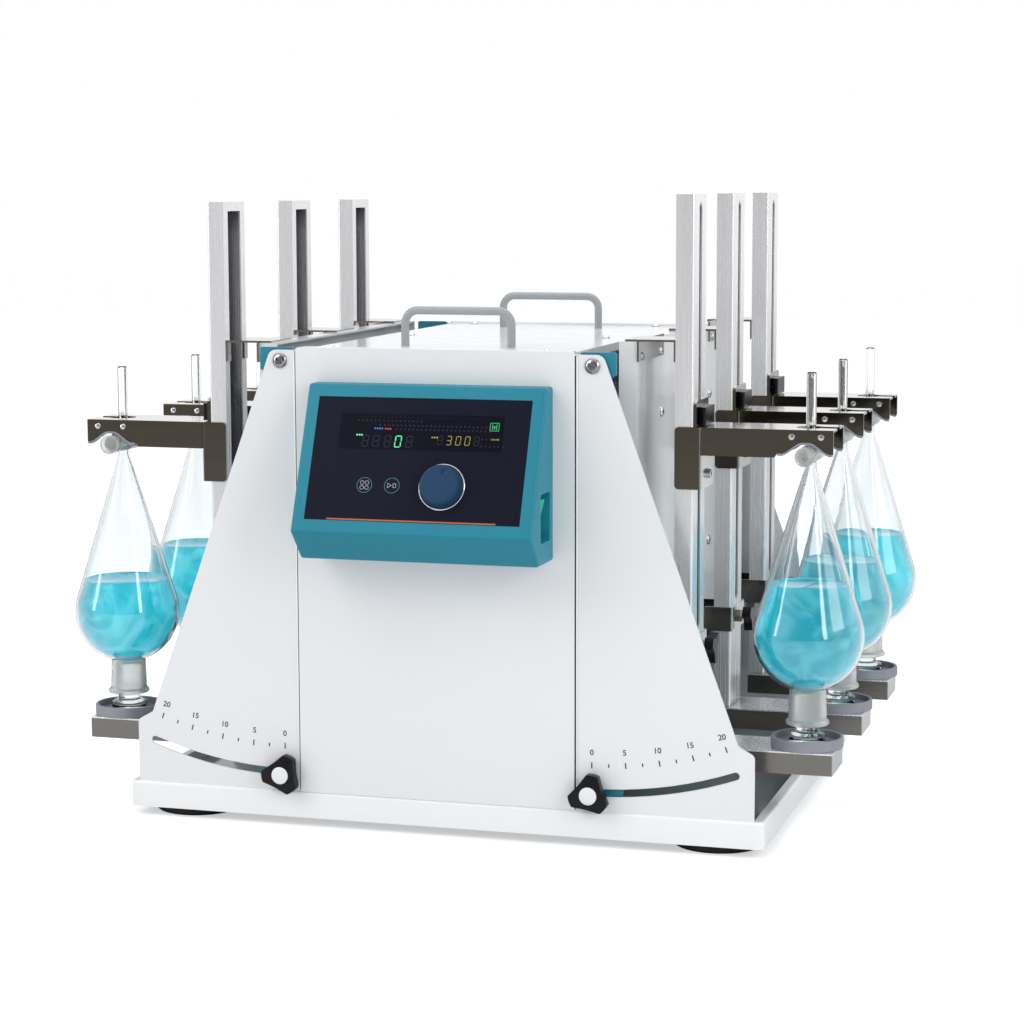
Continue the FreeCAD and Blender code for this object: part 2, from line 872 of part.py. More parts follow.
def make_drive_motor():
    """Geared motor on a foot that stands on the chassis shelf."""
    near = motor_mount_depth()
    half = gearbox_size / 2
    shelf = base_top + low_rail_height + chassis_tube + shelf_sheet
    square = [(crank_x - half, crank_z - half), (crank_x + half, crank_z - half),
              (crank_x + half, crank_z + half), (crank_x - half, crank_z + half)]
    box = plate_y(square, [gearbox_corner] * 4, near, near + gearbox_depth)
    can = rod_y(motor_radius, near + gearbox_depth, near + gearbox_depth + motor_length, crank_x, crank_z)
    fins = []
    for i in range(fin_count):
        depth = near + gearbox_depth + fin_start + i * fin_pitch
        fins.append(rod_y(motor_radius + fin_rise, depth, depth + fin_sheet, crank_x, crank_z))
    foot = block(crank_x - motor_foot_half, crank_x + motor_foot_half, near + motor_foot_inset,
                 near + gearbox_depth - motor_foot_inset, shelf, crank_z - half + overrun)
    motor = joined([box, can, foot] + fins)
    bore_end = near - gearbox_play + crank_shaft_length + overrun
    return motor.cut(rod_y(crank_shaft_radius + running, near - overrun, bore_end, crank_x, crank_z))


def make_crank_disc():
    """Disc on the gearbox shaft with a short eccentric pin."""
    back = motor_mount_depth() - gearbox_play
    front = back - crank_disc_sheet
    pin_x, pin_z = crank_pin_place()
    disc = rod_y(crank_disc_radius, front, back, crank_x, crank_z)
    shaft = rod_y(crank_shaft_radius, back, back + crank_shaft_length, crank_x, crank_z)
    pin = rod_y(crank_pin_radius, front - crank_play + seat, front, pin_x, pin_z)
    return joined([disc, shaft, pin])


def make_rocker_beam():
    """See-saw beam with a pin at each end and a rod pin, at its rest angle."""
    near = mid_depth - beam_sheet / 2
    far = mid_depth + beam_sheet / 2
    hub = beam_hub
    end = beam_end_radius
    outline = [(-pivot_x, beam_z - end), (-hub, beam_z - beam_rise), (hub, beam_z - beam_rise),
               (pivot_x, beam_z - end), (pivot_x, beam_z + end), (-pivot_x, beam_z + end)]
    web = plate_y(outline, [0, beam_hollow, beam_hollow, 0, 0, 0], near, far)
    shapes = [web]
    for side in (-1, 1):
        shapes.append(rod_y(end, near, far, side * pivot_x, beam_z))
        shapes.append(rod_y(beam_pin_radius, mid_depth - beam_pin_half, mid_depth + beam_pin_half,
                            side * pivot_x, beam_z))
    shapes.append(rod_y(rod_pin_radius, far, far + rod_play + rod_sheet + beam_play, crank_x, beam_z))
    beam = joined(shapes)
    beam = beam.cut(rod_y(beam_bearing_radius + running, near - overrun, far + overrun, 0, beam_z))
    beam.rotate(at(0, mid_depth, beam_z), Vector(0, 1, 0), -math.degrees(beam_angle))
    return beam


def rod_pin_place():
    """Where the beam's rod pin stands at rest."""
    return crank_x * math.cos(beam_angle), beam_z + crank_x * math.sin(beam_angle)


def make_connecting_rod():
    """Flat rod from the beam's pin down to the crank pin."""
    near = rod_front()
    far = near + rod_sheet
    top_x, top_z = rod_pin_place()
    low_x, low_z = crank_pin_place()
    lean = math.atan2(low_x - top_x, top_z - low_z)
    length = math.hypot(low_x - top_x, top_z - low_z)
    waist = rod_waist
    shank = block(top_x - waist, top_x + waist, near, far, top_z - length, top_z)
    upper = rod_y(rod_eye_radius, near, far, top_x, top_z)
    lower = rod_y(rod_eye_radius, near, far, top_x, top_z - length)
    rod = joined([shank, upper, lower])
    rod = rod.cut(rod_y(rod_pin_radius + running, near - overrun, far + overrun, top_x, top_z))
    rod = rod.cut(rod_y(crank_pin_radius + running, near - overrun, far + overrun, top_x, top_z - length))
    rod.rotate(at(top_x, 0, top_z), Vector(0, 1, 0), -math.degrees(lean))
    return rod


# Tilt frames, drawn for the right side

def make_tilt_frame():
    """Two end plates joined by two rails, hung on the pivot bolts."""
    near = panel_sheet + end_gap
    far = near + end_sheet
    top = pivot_z + end_ear_rise
    toe = lock_z - end_toe_drop
    shoulder = lock_z + 2 * end_toe_drop
    ear = top - end_ear_height
    outline = [(end_inner_x, toe), (end_toe_x - end_toe_cut, toe), (end_toe_x, lock_z + end_toe_rise),
               (end_outer_x, shoulder), (end_outer_x, ear - end_toe_rise), (end_ear_x, ear), (end_ear_x, top),
               (end_inner_x, top)]
    radii = [end_corner, end_corner, end_corner, end_hollow, end_corner, end_ear_corner, end_ear_corner, end_corner]
    plate = plate_y(outline, radii, near, far)
    plate = plate.cut(rod_y(pivot_bolt_radius + running, near - overrun, far + overrun, pivot_x, pivot_z))
    shapes = []
    low_x = guide_rod_x - tilt_rail / 2
    high_x = guide_rod_x + tilt_rail / 2
    for z in (rail_high, rail_low):
        rail = block(low_x, high_x, far, body_depth - far, z - tilt_rail / 2, z + tilt_rail / 2)
        for depth in (guide_rod_inset, body_depth - guide_rod_inset):
            rail = rail.cut(rod_z(guide_rod_radius, z - tilt_rail, z + tilt_rail, guide_rod_x, depth))
        shapes.append(rail)
    boss = rod_y(lock_boss_radius, far, far + lock_boss_length, pivot_x, lock_z)
    stud_hole = rod_y(lock_stud_radius + running, near - overrun, far + lock_boss_length + overrun, pivot_x, lock_z)
    front = joined([plate, boss]).cut(stud_hole)
    return joined([front, mirrored_y(plate)] + shapes)


def make_guide_rods():
    """Two polished rods clamped in the frame's rails."""
    low = rail_low - tilt_rail / 2
    high = rail_high + tilt_rail / 2
    return group([rod_z(guide_rod_radius, low, high, guide_rod_x, depth)
                  for depth in (guide_rod_inset, body_depth - guide_rod_inset)])


def make_lock_knob():
    """Three-lobed lock knob with a collar and a stud through the curved slot."""
    star = star_knob(lock_star_radius, lock_star_sheet, 0)
    cap = Part.makeCylinder(lock_cap_radius, lock_cap_height, Vector(lock_star_sheet, 0, 0), Vector(1, 0, 0))
    knob = joined([star, cap])
    knob.rotate(Vector(0, 0, 0), Vector(0, 0, 1), -90)
    knob.rotate(Vector(0, 0, 0), Vector(0, 1, 0), lock_star_turn)
    knob.translate(at(pivot_x, -lock_star_stand, lock_z))
    stud_end = panel_sheet + end_gap + end_sheet + lock_boss_length
    collar_front = -seat - lock_collar_sheet
    neck = rod_y(lock_neck_radius, -lock_star_stand, collar_front, pivot_x, lock_z)
    collar = rod_y(lock_collar_radius, collar_front, -seat, pivot_x, lock_z)
    stud = rod_y(lock_stud_radius, -seat, stud_end, pivot_x, lock_z)
    return joined([knob, neck, collar, stud])


# Shaking carriages, drawn for the right side with the tray's top at height zero

def make_carriage():
    """Shallow folded panel with four rod bearings and the drive fork on its inner face."""
    near = post_inset
    far = body_depth - post_inset
    sheet = carriage_sheet
    panel = block(carriage_inner_x, carriage_outer_x, near, far, carriage_bottom, carriage_top)
    hollow = block(carriage_inner_x - overrun, carriage_outer_x - sheet, near + sheet, far - sheet,
                   carriage_bottom + sheet, carriage_top - sheet)
    panel = panel.cut(hollow)
    back = carriage_outer_x - sheet
    solids = [panel]
    for depth in (guide_rod_inset, body_depth - guide_rod_inset):
        for z in (bearing_upper, bearing_lower):
            bearing = block(guide_rod_x - bearing_width / 2, back, depth - bearing_width / 2,
                            depth + bearing_width / 2, z - bearing_height / 2, z + bearing_height / 2)
            solids.append(bearing.cut(rod_z(guide_rod_radius + running, z - bearing_height,
                                            z + bearing_height, guide_rod_x, depth)))
    axis = beam_z - (tray_top - rest_lead)
    slot_half = beam_pin_radius + fork_slack
    half = fork_gap / 2 + fork_plate
    fork_x = pivot_x - beam_pin_radius - fork_nose
    root = back - fork_web
    tall = slot_half + fork_wall + overrun
    fork = block(fork_x, back, mid_depth - half, mid_depth + half,
                 axis - slot_half - fork_wall, axis + slot_half + fork_wall)
    fork = fork.cut(block(fork_x - overrun, root, mid_depth - fork_gap / 2, mid_depth + fork_gap / 2,
                          axis - tall, axis + tall))
    fork = fork.cut(block(fork_x - overrun, root, mid_depth - half - overrun, mid_depth + half + overrun,
                          axis - slot_half, axis + slot_half))
    solids.append(fork)
    return group(solids)


def make_post(middle):
    """Lipped channel post with a long slot, welded onto its box tray."""
    near = middle - post_half
    far = middle + post_half
    post = block(post_inner_x, post_outer_x, near, far, 0, post_length)
    bends = [e for e in post.Edges if e.BoundBox.ZLength > post_length / 2 and e.BoundBox.XMin > post_inner_x + touch]
    post = post.makeFillet(post_bend, bends)
    sheet = post_sheet
    inside = block(post_inner_x + sheet, post_outer_x - sheet, near + sheet, far - sheet, -overrun, post_length - sheet)
    mouth = block(post_inner_x - overrun, post_inner_x + sheet + overrun, near + post_lip, far - post_lip, -overrun,
                  post_length - post_cap)
    slot_half = post_slot / 2
    ends = slot_half - touch
    slot = plate_x([(middle - slot_half, post_slot_bottom), (middle + slot_half, post_slot_bottom),
                    (middle + slot_half, post_slot_top), (middle - slot_half, post_slot_top)],
                   [ends] * 4, post_outer_x - sheet - overrun, post_outer_x + overrun)
    post = post.cut(inside).cut(mouth).cut(slot)
    half = tray_width / 2
    tray = block(post_inner_x, tray_end_x, middle - half, middle + half, -tray_rise, 0)
    edges = [e for e in tray.Edges if e.BoundBox.ZLength > tray_rise / 2 and e.BoundBox.XMin > tray_end_x - touch]
    tray = tray.makeFillet(tray_round, edges)
    tray = tray.cut(block(post_inner_x - overrun, tray_end_x - tray_sheet, middle - half + tray_sheet,
                          middle + half - tray_sheet, -tray_rise - overrun, -tray_sheet))
    return joined([post, tray])


def make_fittings(middle):
    """Top bracket, lower spacer and wrap-round strap of one post."""
    sheet = bracket_sheet
    web_near = middle - post_half
    web = block(carriage_outer_x - bracket_lap, post_inner_x, web_near, web_near + post_depth,
                carriage_top, carriage_top + sheet)
    flange_near = min(web_near - bracket_lead, body_depth - post_inset - bracket_length)
    flange = block(carriage_outer_x, carriage_outer_x + sheet, flange_near, flange_near + bracket_length,
                   carriage_top - bracket_flange, carriage_top + sheet)
    parts = [web, flange]
    for side in (-1, 1):
        outer = middle + side * (post_half - bracket_tab_inset)
        parts.append(block(post_inner_x - sheet, post_inner_x, outer, outer - side * bracket_tab_width,
                           carriage_top - bracket_flange, carriage_top + sheet))
    top_bracket = joined(parts)
    z0 = strap_bottom
    z1 = strap_bottom + strap_rise
    spacer = block(carriage_outer_x, post_inner_x, middle - post_half, middle + post_half,
                   z0 + spacer_inset, z1 - spacer_inset)
    spacer = spacer.cut(block(carriage_outer_x + strap_sheet, post_inner_x + overrun, middle - post_half + strap_sheet,
                              middle + post_half - strap_sheet, z0, z1))
    outer = post_outer_x + strap_sheet
    reach = post_half + strap_sheet
    strap = block(strap_inner_x, outer, middle - reach, middle + reach, z0, z1)
    bends = [e for e in strap.Edges if e.BoundBox.ZLength > strap_rise / 2 and e.BoundBox.XMin > outer - touch]
    strap = strap.makeFillet(post_bend, bends)
    strap = strap.cut(block(strap_inner_x - overrun, post_outer_x, middle - post_half, middle + post_half,
                            z0 - overrun, z1 + overrun))
    hexagon = [(middle + strap_nut_radius * math.cos(math.tau * i / 6),
                strap_centre + strap_nut_radius * math.sin(math.tau * i / 6)) for i in range(6)]
    nut = plate_x(hexagon, [0] * 6, outer, outer + strap_nut_height)
    strap = joined([strap, nut])
    hole_end = outer + strap_nut_height + overrun
    strap = strap.cut(rod_x(strap_stud_radius + running, post_outer_x - overrun, hole_end, middle, strap_centre))
    return [top_bracket, spacer, strap]


def make_strap_knob(middle):
    """Three-lobed knob whose stud presses the strap onto the post."""
    stand = post_outer_x + strap_sheet + star_stand
    star = star_knob(star_radius, star_sheet, star_turn)
    star.translate(at(stand, middle, strap_centre))
    stud = rod_x(strap_stud_radius, post_outer_x + seat, stand, middle, strap_centre)
    return joined([star, stud])


def notch_outline(x_end):
    """Lower edge of the arm from the root side to the free end, as (x, z) points."""
    low = arm_top - notch_low
    high = arm_top - notch_high
    return [(funnel_x - notch_shoulder, low), (funnel_x - notch_half, low), (funnel_x - notch_flat, high),
            (funnel_x + notch_flat, high), (funnel_x + notch_half, low), (x_end, low)]


def make_arm(middle):
    """Clamp channel round the post, with a notched channel arm and its rubber linings."""
    half = arm_outer_half
    inner = post_half + seat
    low = arm_top - clamp_rise
    clamp = block(post_inner_x, arm_root_x, middle - half, middle + half, low, arm_top)
    bends = [e for e in clamp.Edges if e.BoundBox.ZLength > clamp_rise / 2 and e.BoundBox.XMin > arm_root_x - touch]
    clamp = clamp.makeFillet(clamp_bend, bends)
    corners = [e for e in clamp.Edges if e.BoundBox.YLength > half and e.BoundBox.XMax < post_inner_x + touch]
    clamp = clamp.makeFillet(clamp_corner, corners)
    clamp = clamp.cut(block(post_inner_x - overrun, arm_root_x - clamp_sheet, middle - inner, middle + inner,
                            low - overrun, arm_top + overrun))
    plate_x0 = post_outer_x + seat
    plate_x1 = plate_x0 + clamp_sheet
    tab_top = arm_top + clamp_tab
    tab = plate_x([(middle - post_half, low + tab_inset), (middle + post_half, low + tab_inset),
                   (middle + post_half, tab_top), (middle - post_half, tab_top)],
                  [0, 0, tab_corner, tab_corner], plate_x0, plate_x1)
    spacer = block(plate_x1, arm_root_x - clamp_sheet, middle - web_spacer_half, middle + web_spacer_half,
                   low + web_spacer_inset, arm_top - web_spacer_inset)
    low_arm = arm_top - arm_rise
    edge = notch_outline(arm_end_x)
    side = [(arm_root_x - arm_lap, low_arm), (funnel_x - notch_shoulder - notch_step, low_arm)] + edge
    side += [(arm_end_x, arm_top), (arm_root_x - arm_lap, arm_top)]
    radii = [0, 0, 0, notch_hollow, notch_round, notch_round, notch_hollow, 0, 0, 0]
    channel = plate_y(side, radii, middle - half, middle + half)
    channel = channel.cut(block(arm_root_x - overrun, arm_end_x + overrun, middle - half + arm_sheet,
                                middle + half - arm_sheet, low_arm - overrun, arm_top - arm_sheet))
    arm = joined([clamp, tab, spacer, channel])
    cut_low = arm_top - arm_sheet - overrun
    cut_high = arm_top + overrun
    arm = arm.cut(rod_z(keyhole_radius, cut_low, cut_high, funnel_x, middle))
    slot = keyhole_slot / 2
    arm = arm.cut(block(funnel_x, arm_end_x + overrun, middle - slot, middle + slot, cut_low, cut_high))
    bolt_z = arm_top + grip_height
    arm = arm.cut(rod_x(catch_bolt_radius + running, plate_x0 - overrun, plate_x1 + overrun, middle, bolt_z))
    solids = [arm]
    upper = notch_outline(arm_end_x - lining_end)
    lower = [(x, z - lining_sheet) for x, z in reversed(upper)]
    upper_radii = [0, notch_hollow, notch_round, notch_round, notch_hollow, 0]
    hollow = notch_hollow + lining_sheet
    crest = notch_round - lining_sheet
    lower_radii = [0, hollow, crest, crest, hollow, 0]
    for side_sign in (-1, 1):
        centre = middle + side_sign * (half - arm_sheet / 2)
        solids.append(plate_y(upper + lower, upper_radii + lower_radii,
                              centre - lining_width / 2, centre + lining_width / 2))
    return group(solids)


def make_arm_catch(middle):
    """Undercut grip on a bolt that drops into the post's slot until it is pulled outwards."""
    z = arm_top + grip_height
    plate = post_outer_x + seat + clamp_sheet
    root = plate + seat
    face = root + grip_reach
    half = grip_length / 2
    inner = grip_root / 2
    outline = [(root, middle - inner), (face, middle - half), (face, middle + half), (root, middle + inner)]
    grip = plate_z(outline, [0, grip_edge, grip_edge, 0], z - grip_rise / 2, z + grip_rise / 2)
    bolt = rod_x(catch_bolt_radius, post_outer_x - post_sheet - catch_bolt_tip, root, middle, z)
    return joined([grip, bolt])


def make_cup(middle):
    """Round rubber cup that the stopper stands in."""
    inner = cup_radius - cup_wall
    profile = [(0, 0), (cup_radius, 0), (cup_radius, cup_rise - cup_bevel), (cup_radius - cup_bevel, cup_rise),
               (inner, cup_rise), (inner - cup_bevel, cup_floor), (0, cup_floor)]
    return turned(profile, funnel_x, middle)


def tangent_angle():
    """Angle of the cone's side where it leaves the bulb."""
    return math.asin((bulb_radius - cone_top_radius) / (cone_top - bulb_height))


def funnel_profile(offset):
    """Edges of the pear shape at a distance inside the glass, from the neck up to the cone's top."""
    radius = bulb_radius - offset
    angle = tangent_angle()
    neck = socket_radius - socket_taper - offset
    low_angle = -math.acos(neck / radius)
    points = []
    for a in (low_angle, (low_angle + angle) / 2, angle):
        points.append(Vector(radius * math.cos(a), 0, bulb_height + radius * math.sin(a)))
    top = Vector(max(cone_top_radius - offset, stem_bore), 0, cone_top)
    return Part.Arc(*points).toShape(), Part.makeLine(points[2], top), points[0], top


def make_funnel(middle):
    """Inverted pear-shaped separating funnel with its ground socket, tap barrel and stem."""
    bulb, cone, neck_out, cone_out = funnel_profile(0)
    inner_bulb, inner_cone, neck_in, cone_in = funnel_profile(glass_wall)
    rim_z = socket_bottom + socket_rim_rise
    bore_top = socket_bore - socket_bore_taper
    outer = [Vector(socket_bore, 0, socket_bottom), Vector(socket_rim_radius, 0, socket_bottom),
             Vector(socket_rim_radius, 0, rim_z), Vector(socket_radius, 0, rim_z + socket_step), neck_out]
    rise = [cone_out, Vector(stem_radius, 0, tap_height + tap_radius),
            Vector(stem_radius, 0, stem_top), Vector(stem_bore, 0, stem_top),
            Vector(stem_bore, 0, tap_height + tap_radius), Vector(cone_in.x, 0, cone_in.z)]
    sink = [Vector(neck_in.x, 0, neck_in.z), Vector(bore_top, 0, socket_bottom + socket_depth), outer[0]]
    edges = [Part.makeLine(a, b) for a, b in zip(outer, outer[1:])]
    edges += [bulb, cone]
    edges += [Part.makeLine(a, b) for a, b in zip(rise, rise[1:])]
    edges += [inner_cone, inner_bulb]
    edges += [Part.makeLine(a, b) for a, b in zip(sink, sink[1:])]
    face = Part.Face(Part.Wire(Part.__sortEdges__(edges)))
    face.rotate(Vector(0, 0, 0), Vector(0, 0, 1), seam_turn)
    body = face.revolve(Vector(0, 0, 0), Vector(0, 0, 1), 360)
    along = Vector(0, 1, 0)
    barrel = Part.makeCylinder(tap_radius, 2 * tap_half, Vector(0, -tap_half, tap_height), along)
    bore_start = -tap_half - overrun
    bore = Part.makeCylinder(plug_radius + running, -2 * bore_start, Vector(0, bore_start, tap_height), along)
    funnel = body.fuse(barrel).cut(bore)
    funnel.translate(at(funnel_x, middle, 0))
    return funnel


def make_stopper(middle):
    """Ground stopper whose flat eight-sided head stands in the cup."""
    head_low = cup_floor
    head_high = head_low + stopper_head
    gap = running
    top = socket_bottom + stopper_length
    flare = socket_bottom - stopper_flare
    profile = [(0, head_high - overrun), (stopper_neck_radius, head_high - overrun),
               (stopper_neck_radius, flare - stopper_step), (socket_bore - gap, flare),
               (socket_bore - gap, socket_bottom), (socket_bore - stopper_taper - gap, top), (0, top)]
    cone = turned(profile, funnel_x, middle)
    octagon = [(funnel_x + stopper_radius * math.cos(math.tau * (i + 0.5) / 8),
                middle + stopper_radius * math.sin(math.tau * (i + 0.5) / 8)) for i in range(8)]
    head = plate_z(octagon, [0] * 8, head_low, head_high)
    edges = [e for e in head.Edges if e.BoundBox.ZLength < touch]
    head = head.makeChamfer(stopper_bevel, edges)
    return joined([cone, head])


def make_tap_plug(middle):
    """Tap plug with a round nut in front of the arm and a cross handle behind it."""
    z = tap_height
    nut_back = middle - arm_outer_half - plug_nut_gap
    handle_near = middle + arm_outer_half + plug_handle_gap
    handle_far = handle_near + plug_handle_sheet
    core = rod_y(plug_radius, nut_back, handle_near, funnel_x, z)
    nut = rod_y(plug_nut_radius, nut_back - plug_nut_sheet, nut_back, funnel_x, z)
    front = at(0, nut_back - plug_nut_sheet + touch, 0).y
    rim = [e for e in nut.Edges if len(e.Vertexes) == 1 and e.BoundBox.YMax < front]
    nut = nut.makeChamfer(plug_nut_bevel, rim)
    rise = plug_handle_rise / 2
    reach = plug_handle_length / 2
    bar = [(funnel_x - reach, z - rise), (funnel_x + reach, z - rise),
           (funnel_x + reach, z + rise), (funnel_x - reach, z + rise)]
    handle = plate_y(bar, [rise - touch] * 4, handle_near, handle_far)
    return joined([core, nut, handle])


def placed(shape, side):
    """Side assembly piece at its rest height: the right side leads the shake and the left trails."""
    lead = side * rest_lead
    copy = shape.copy()
    copy.translate(Vector(0, 0, tray_top - rest_lead + lead))
    return copy if side > 0 else mirrored_x(copy)


def write(name, shape):
    """Save one node."""
    shape.exportStep("parts/%s.step" % name)


def write_machine():
    """Fixed pieces and the drive."""
    front_panel = make_wing_panel(True)
    opening = inlet_opening(body_depth - panel_sheet - overrun, body_depth + overrun, 0)
    rear_panel = mirrored_y(make_wing_panel(False)).cut(opening)
    pieces = {
        "base_tray": make_base_tray(),
        "rubber_feet": make_feet(),
        "front_wing_panel": front_panel,
        "rear_wing_panel": rear_panel,
        "front_cover": make_end_cover(),
        "rear_cover": make_rear_cover(),
        "top_cover": make_top_cover(),
        "carry_handles": make_handles(),
        "cover_screws": make_cover_screws(),
        "pivot_bolts": make_pivot_bolts(),
        "chassis_frame": make_chassis(),
        "control_housing": make_control_housing(),
        "display_glass": make_display_glass(),
        "encoder_knob": make_encoder_knob(),
        "power_rocker": make_power_rocker(),
        "power_inlet": make_power_inlet(),
        "drive_motor": make_drive_motor(),
        "crank_disc": make_crank_disc(),
        "rocker_beam": make_rocker_beam(),
        "connecting_rod": make_connecting_rod(),
    }
    for name, shape in pieces.items():
        write(name, shape)


def write_side(word, side):
    """One tilting side with its carriage, posts, arms and glassware."""
    frame_pieces = {"tilt_frame": make_tilt_frame(), "guide_rods": make_guide_rods(), "lock_knob": make_lock_knob()}
    for name, shape in frame_pieces.items():
        write("%s_%s" % (word, name), shape if side > 0 else mirrored_x(shape))
    middles = {name: post_middle + i * station_pitch for name, i in stations.items()}
    posts = [make_post(m) for m in middles.values()]
    fittings = [piece for m in middles.values() for piece in make_fittings(m)]
    glass = [piece for m in middles.values() for piece in (make_funnel(m), make_stopper(m))]
    cups = [make_cup(m) for m in middles.values()]
    write("%s_carriage" % word, placed(make_carriage(), side))
    write("%s_posts" % word, placed(group(posts), side))
    write("%s_post_fittings" % word, placed(group(fittings), side))
    write("%s_cups" % word, placed(group(cups), side))
    write("%s_funnels" % word, placed(group(glass), side))
    for name, middle in middles.items():
        write("%s_%s_arm" % (name, word), placed(make_arm(middle), side))
        write("%s_%s_arm_catch" % (name, word), placed(make_arm_catch(middle), side))
        write("%s_%s_strap_knob" % (name, word), placed(make_strap_knob(middle), side))
        write("%s_%s_tap_plug" % (name, word), placed(make_tap_plug(middle), side))


os.makedirs("parts", exist_ok=True)
write_machine()
write_side("left", -1)
write_side("right", 1)
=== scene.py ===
import logging
import math
from dataclasses import dataclass, field
from enum import Enum, IntEnum
from typing import Iterable, Sequence

import bmesh
import bpy
from mathutils import Matrix, Vector


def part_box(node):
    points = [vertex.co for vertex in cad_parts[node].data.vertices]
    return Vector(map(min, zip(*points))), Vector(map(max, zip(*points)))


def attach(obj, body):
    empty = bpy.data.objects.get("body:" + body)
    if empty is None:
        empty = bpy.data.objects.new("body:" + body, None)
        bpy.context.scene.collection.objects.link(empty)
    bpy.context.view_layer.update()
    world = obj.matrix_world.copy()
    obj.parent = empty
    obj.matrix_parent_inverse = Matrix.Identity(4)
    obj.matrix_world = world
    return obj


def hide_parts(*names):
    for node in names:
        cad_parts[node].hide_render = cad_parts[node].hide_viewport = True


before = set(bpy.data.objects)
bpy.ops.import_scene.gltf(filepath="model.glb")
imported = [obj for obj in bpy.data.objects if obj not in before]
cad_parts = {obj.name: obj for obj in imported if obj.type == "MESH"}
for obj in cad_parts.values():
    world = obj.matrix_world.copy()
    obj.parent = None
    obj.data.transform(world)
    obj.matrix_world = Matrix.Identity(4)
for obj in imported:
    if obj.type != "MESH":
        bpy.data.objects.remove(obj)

MM = 0.001
LOG = logging.getLogger("funnel_shaker")
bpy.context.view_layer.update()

# Sizes of the real machine that several pieces share, in millimetres
PIVOT_X = 153.6
SLOT_RADIUS = 400.0
FUNNEL_X = 346.0

# Share of its size by which a printed number's strokes grow
STROKE_GROWTH = 0.012

Point = tuple[float, float, float]
Colour = tuple[float, float, float]
Pair = tuple[float, float]
Face = tuple[int, ...]
Socket = bpy.types.NodeSocket

# Colour sockets of a Mix node
MIX_FIRST = 6
MIX_SECOND = 7
MIX_RESULT = 2


class Side(Enum):
    """The two tilting sides of the machine."""

    LEFT = "left"
    RIGHT = "right"

    @property
    def sign(self) -> float:
        """Direction of the side along X."""
        return 1.0 if self is Side.RIGHT else -1.0


class Station(Enum):
    """The three posts of one side."""

    FRONT = "front"
    MIDDLE = "middle"
    REAR = "rear"


class Grain(Enum):
    """Direction that a brushed sheet's lines run in, as stretches of the noise along X, Y and Z."""

    UPRIGHT = (900.0, 900.0, 6.0)
    ALONG_X = (6.0, 900.0, 900.0)
    FINE = (400.0, 400.0, 400.0)


def linear(hex_code: str) -> Colour:
    """Turn a display colour into linear values.

    Args:
        hex_code: Six hexadecimal digits.

    Returns:
        Linear red, green and blue.
    """
    values = [int(hex_code[i:i + 2], 16) / 255 for i in (0, 2, 4)]
    return tuple(v / 12.92 if v <= 0.04045 else ((v + 0.055) / 1.055) ** 2.4 for v in values)


def shade(colour: Colour, share: float) -> Colour:
    """The same hue, darker or lighter."""
    return tuple(c * share for c in colour)


# Finishes


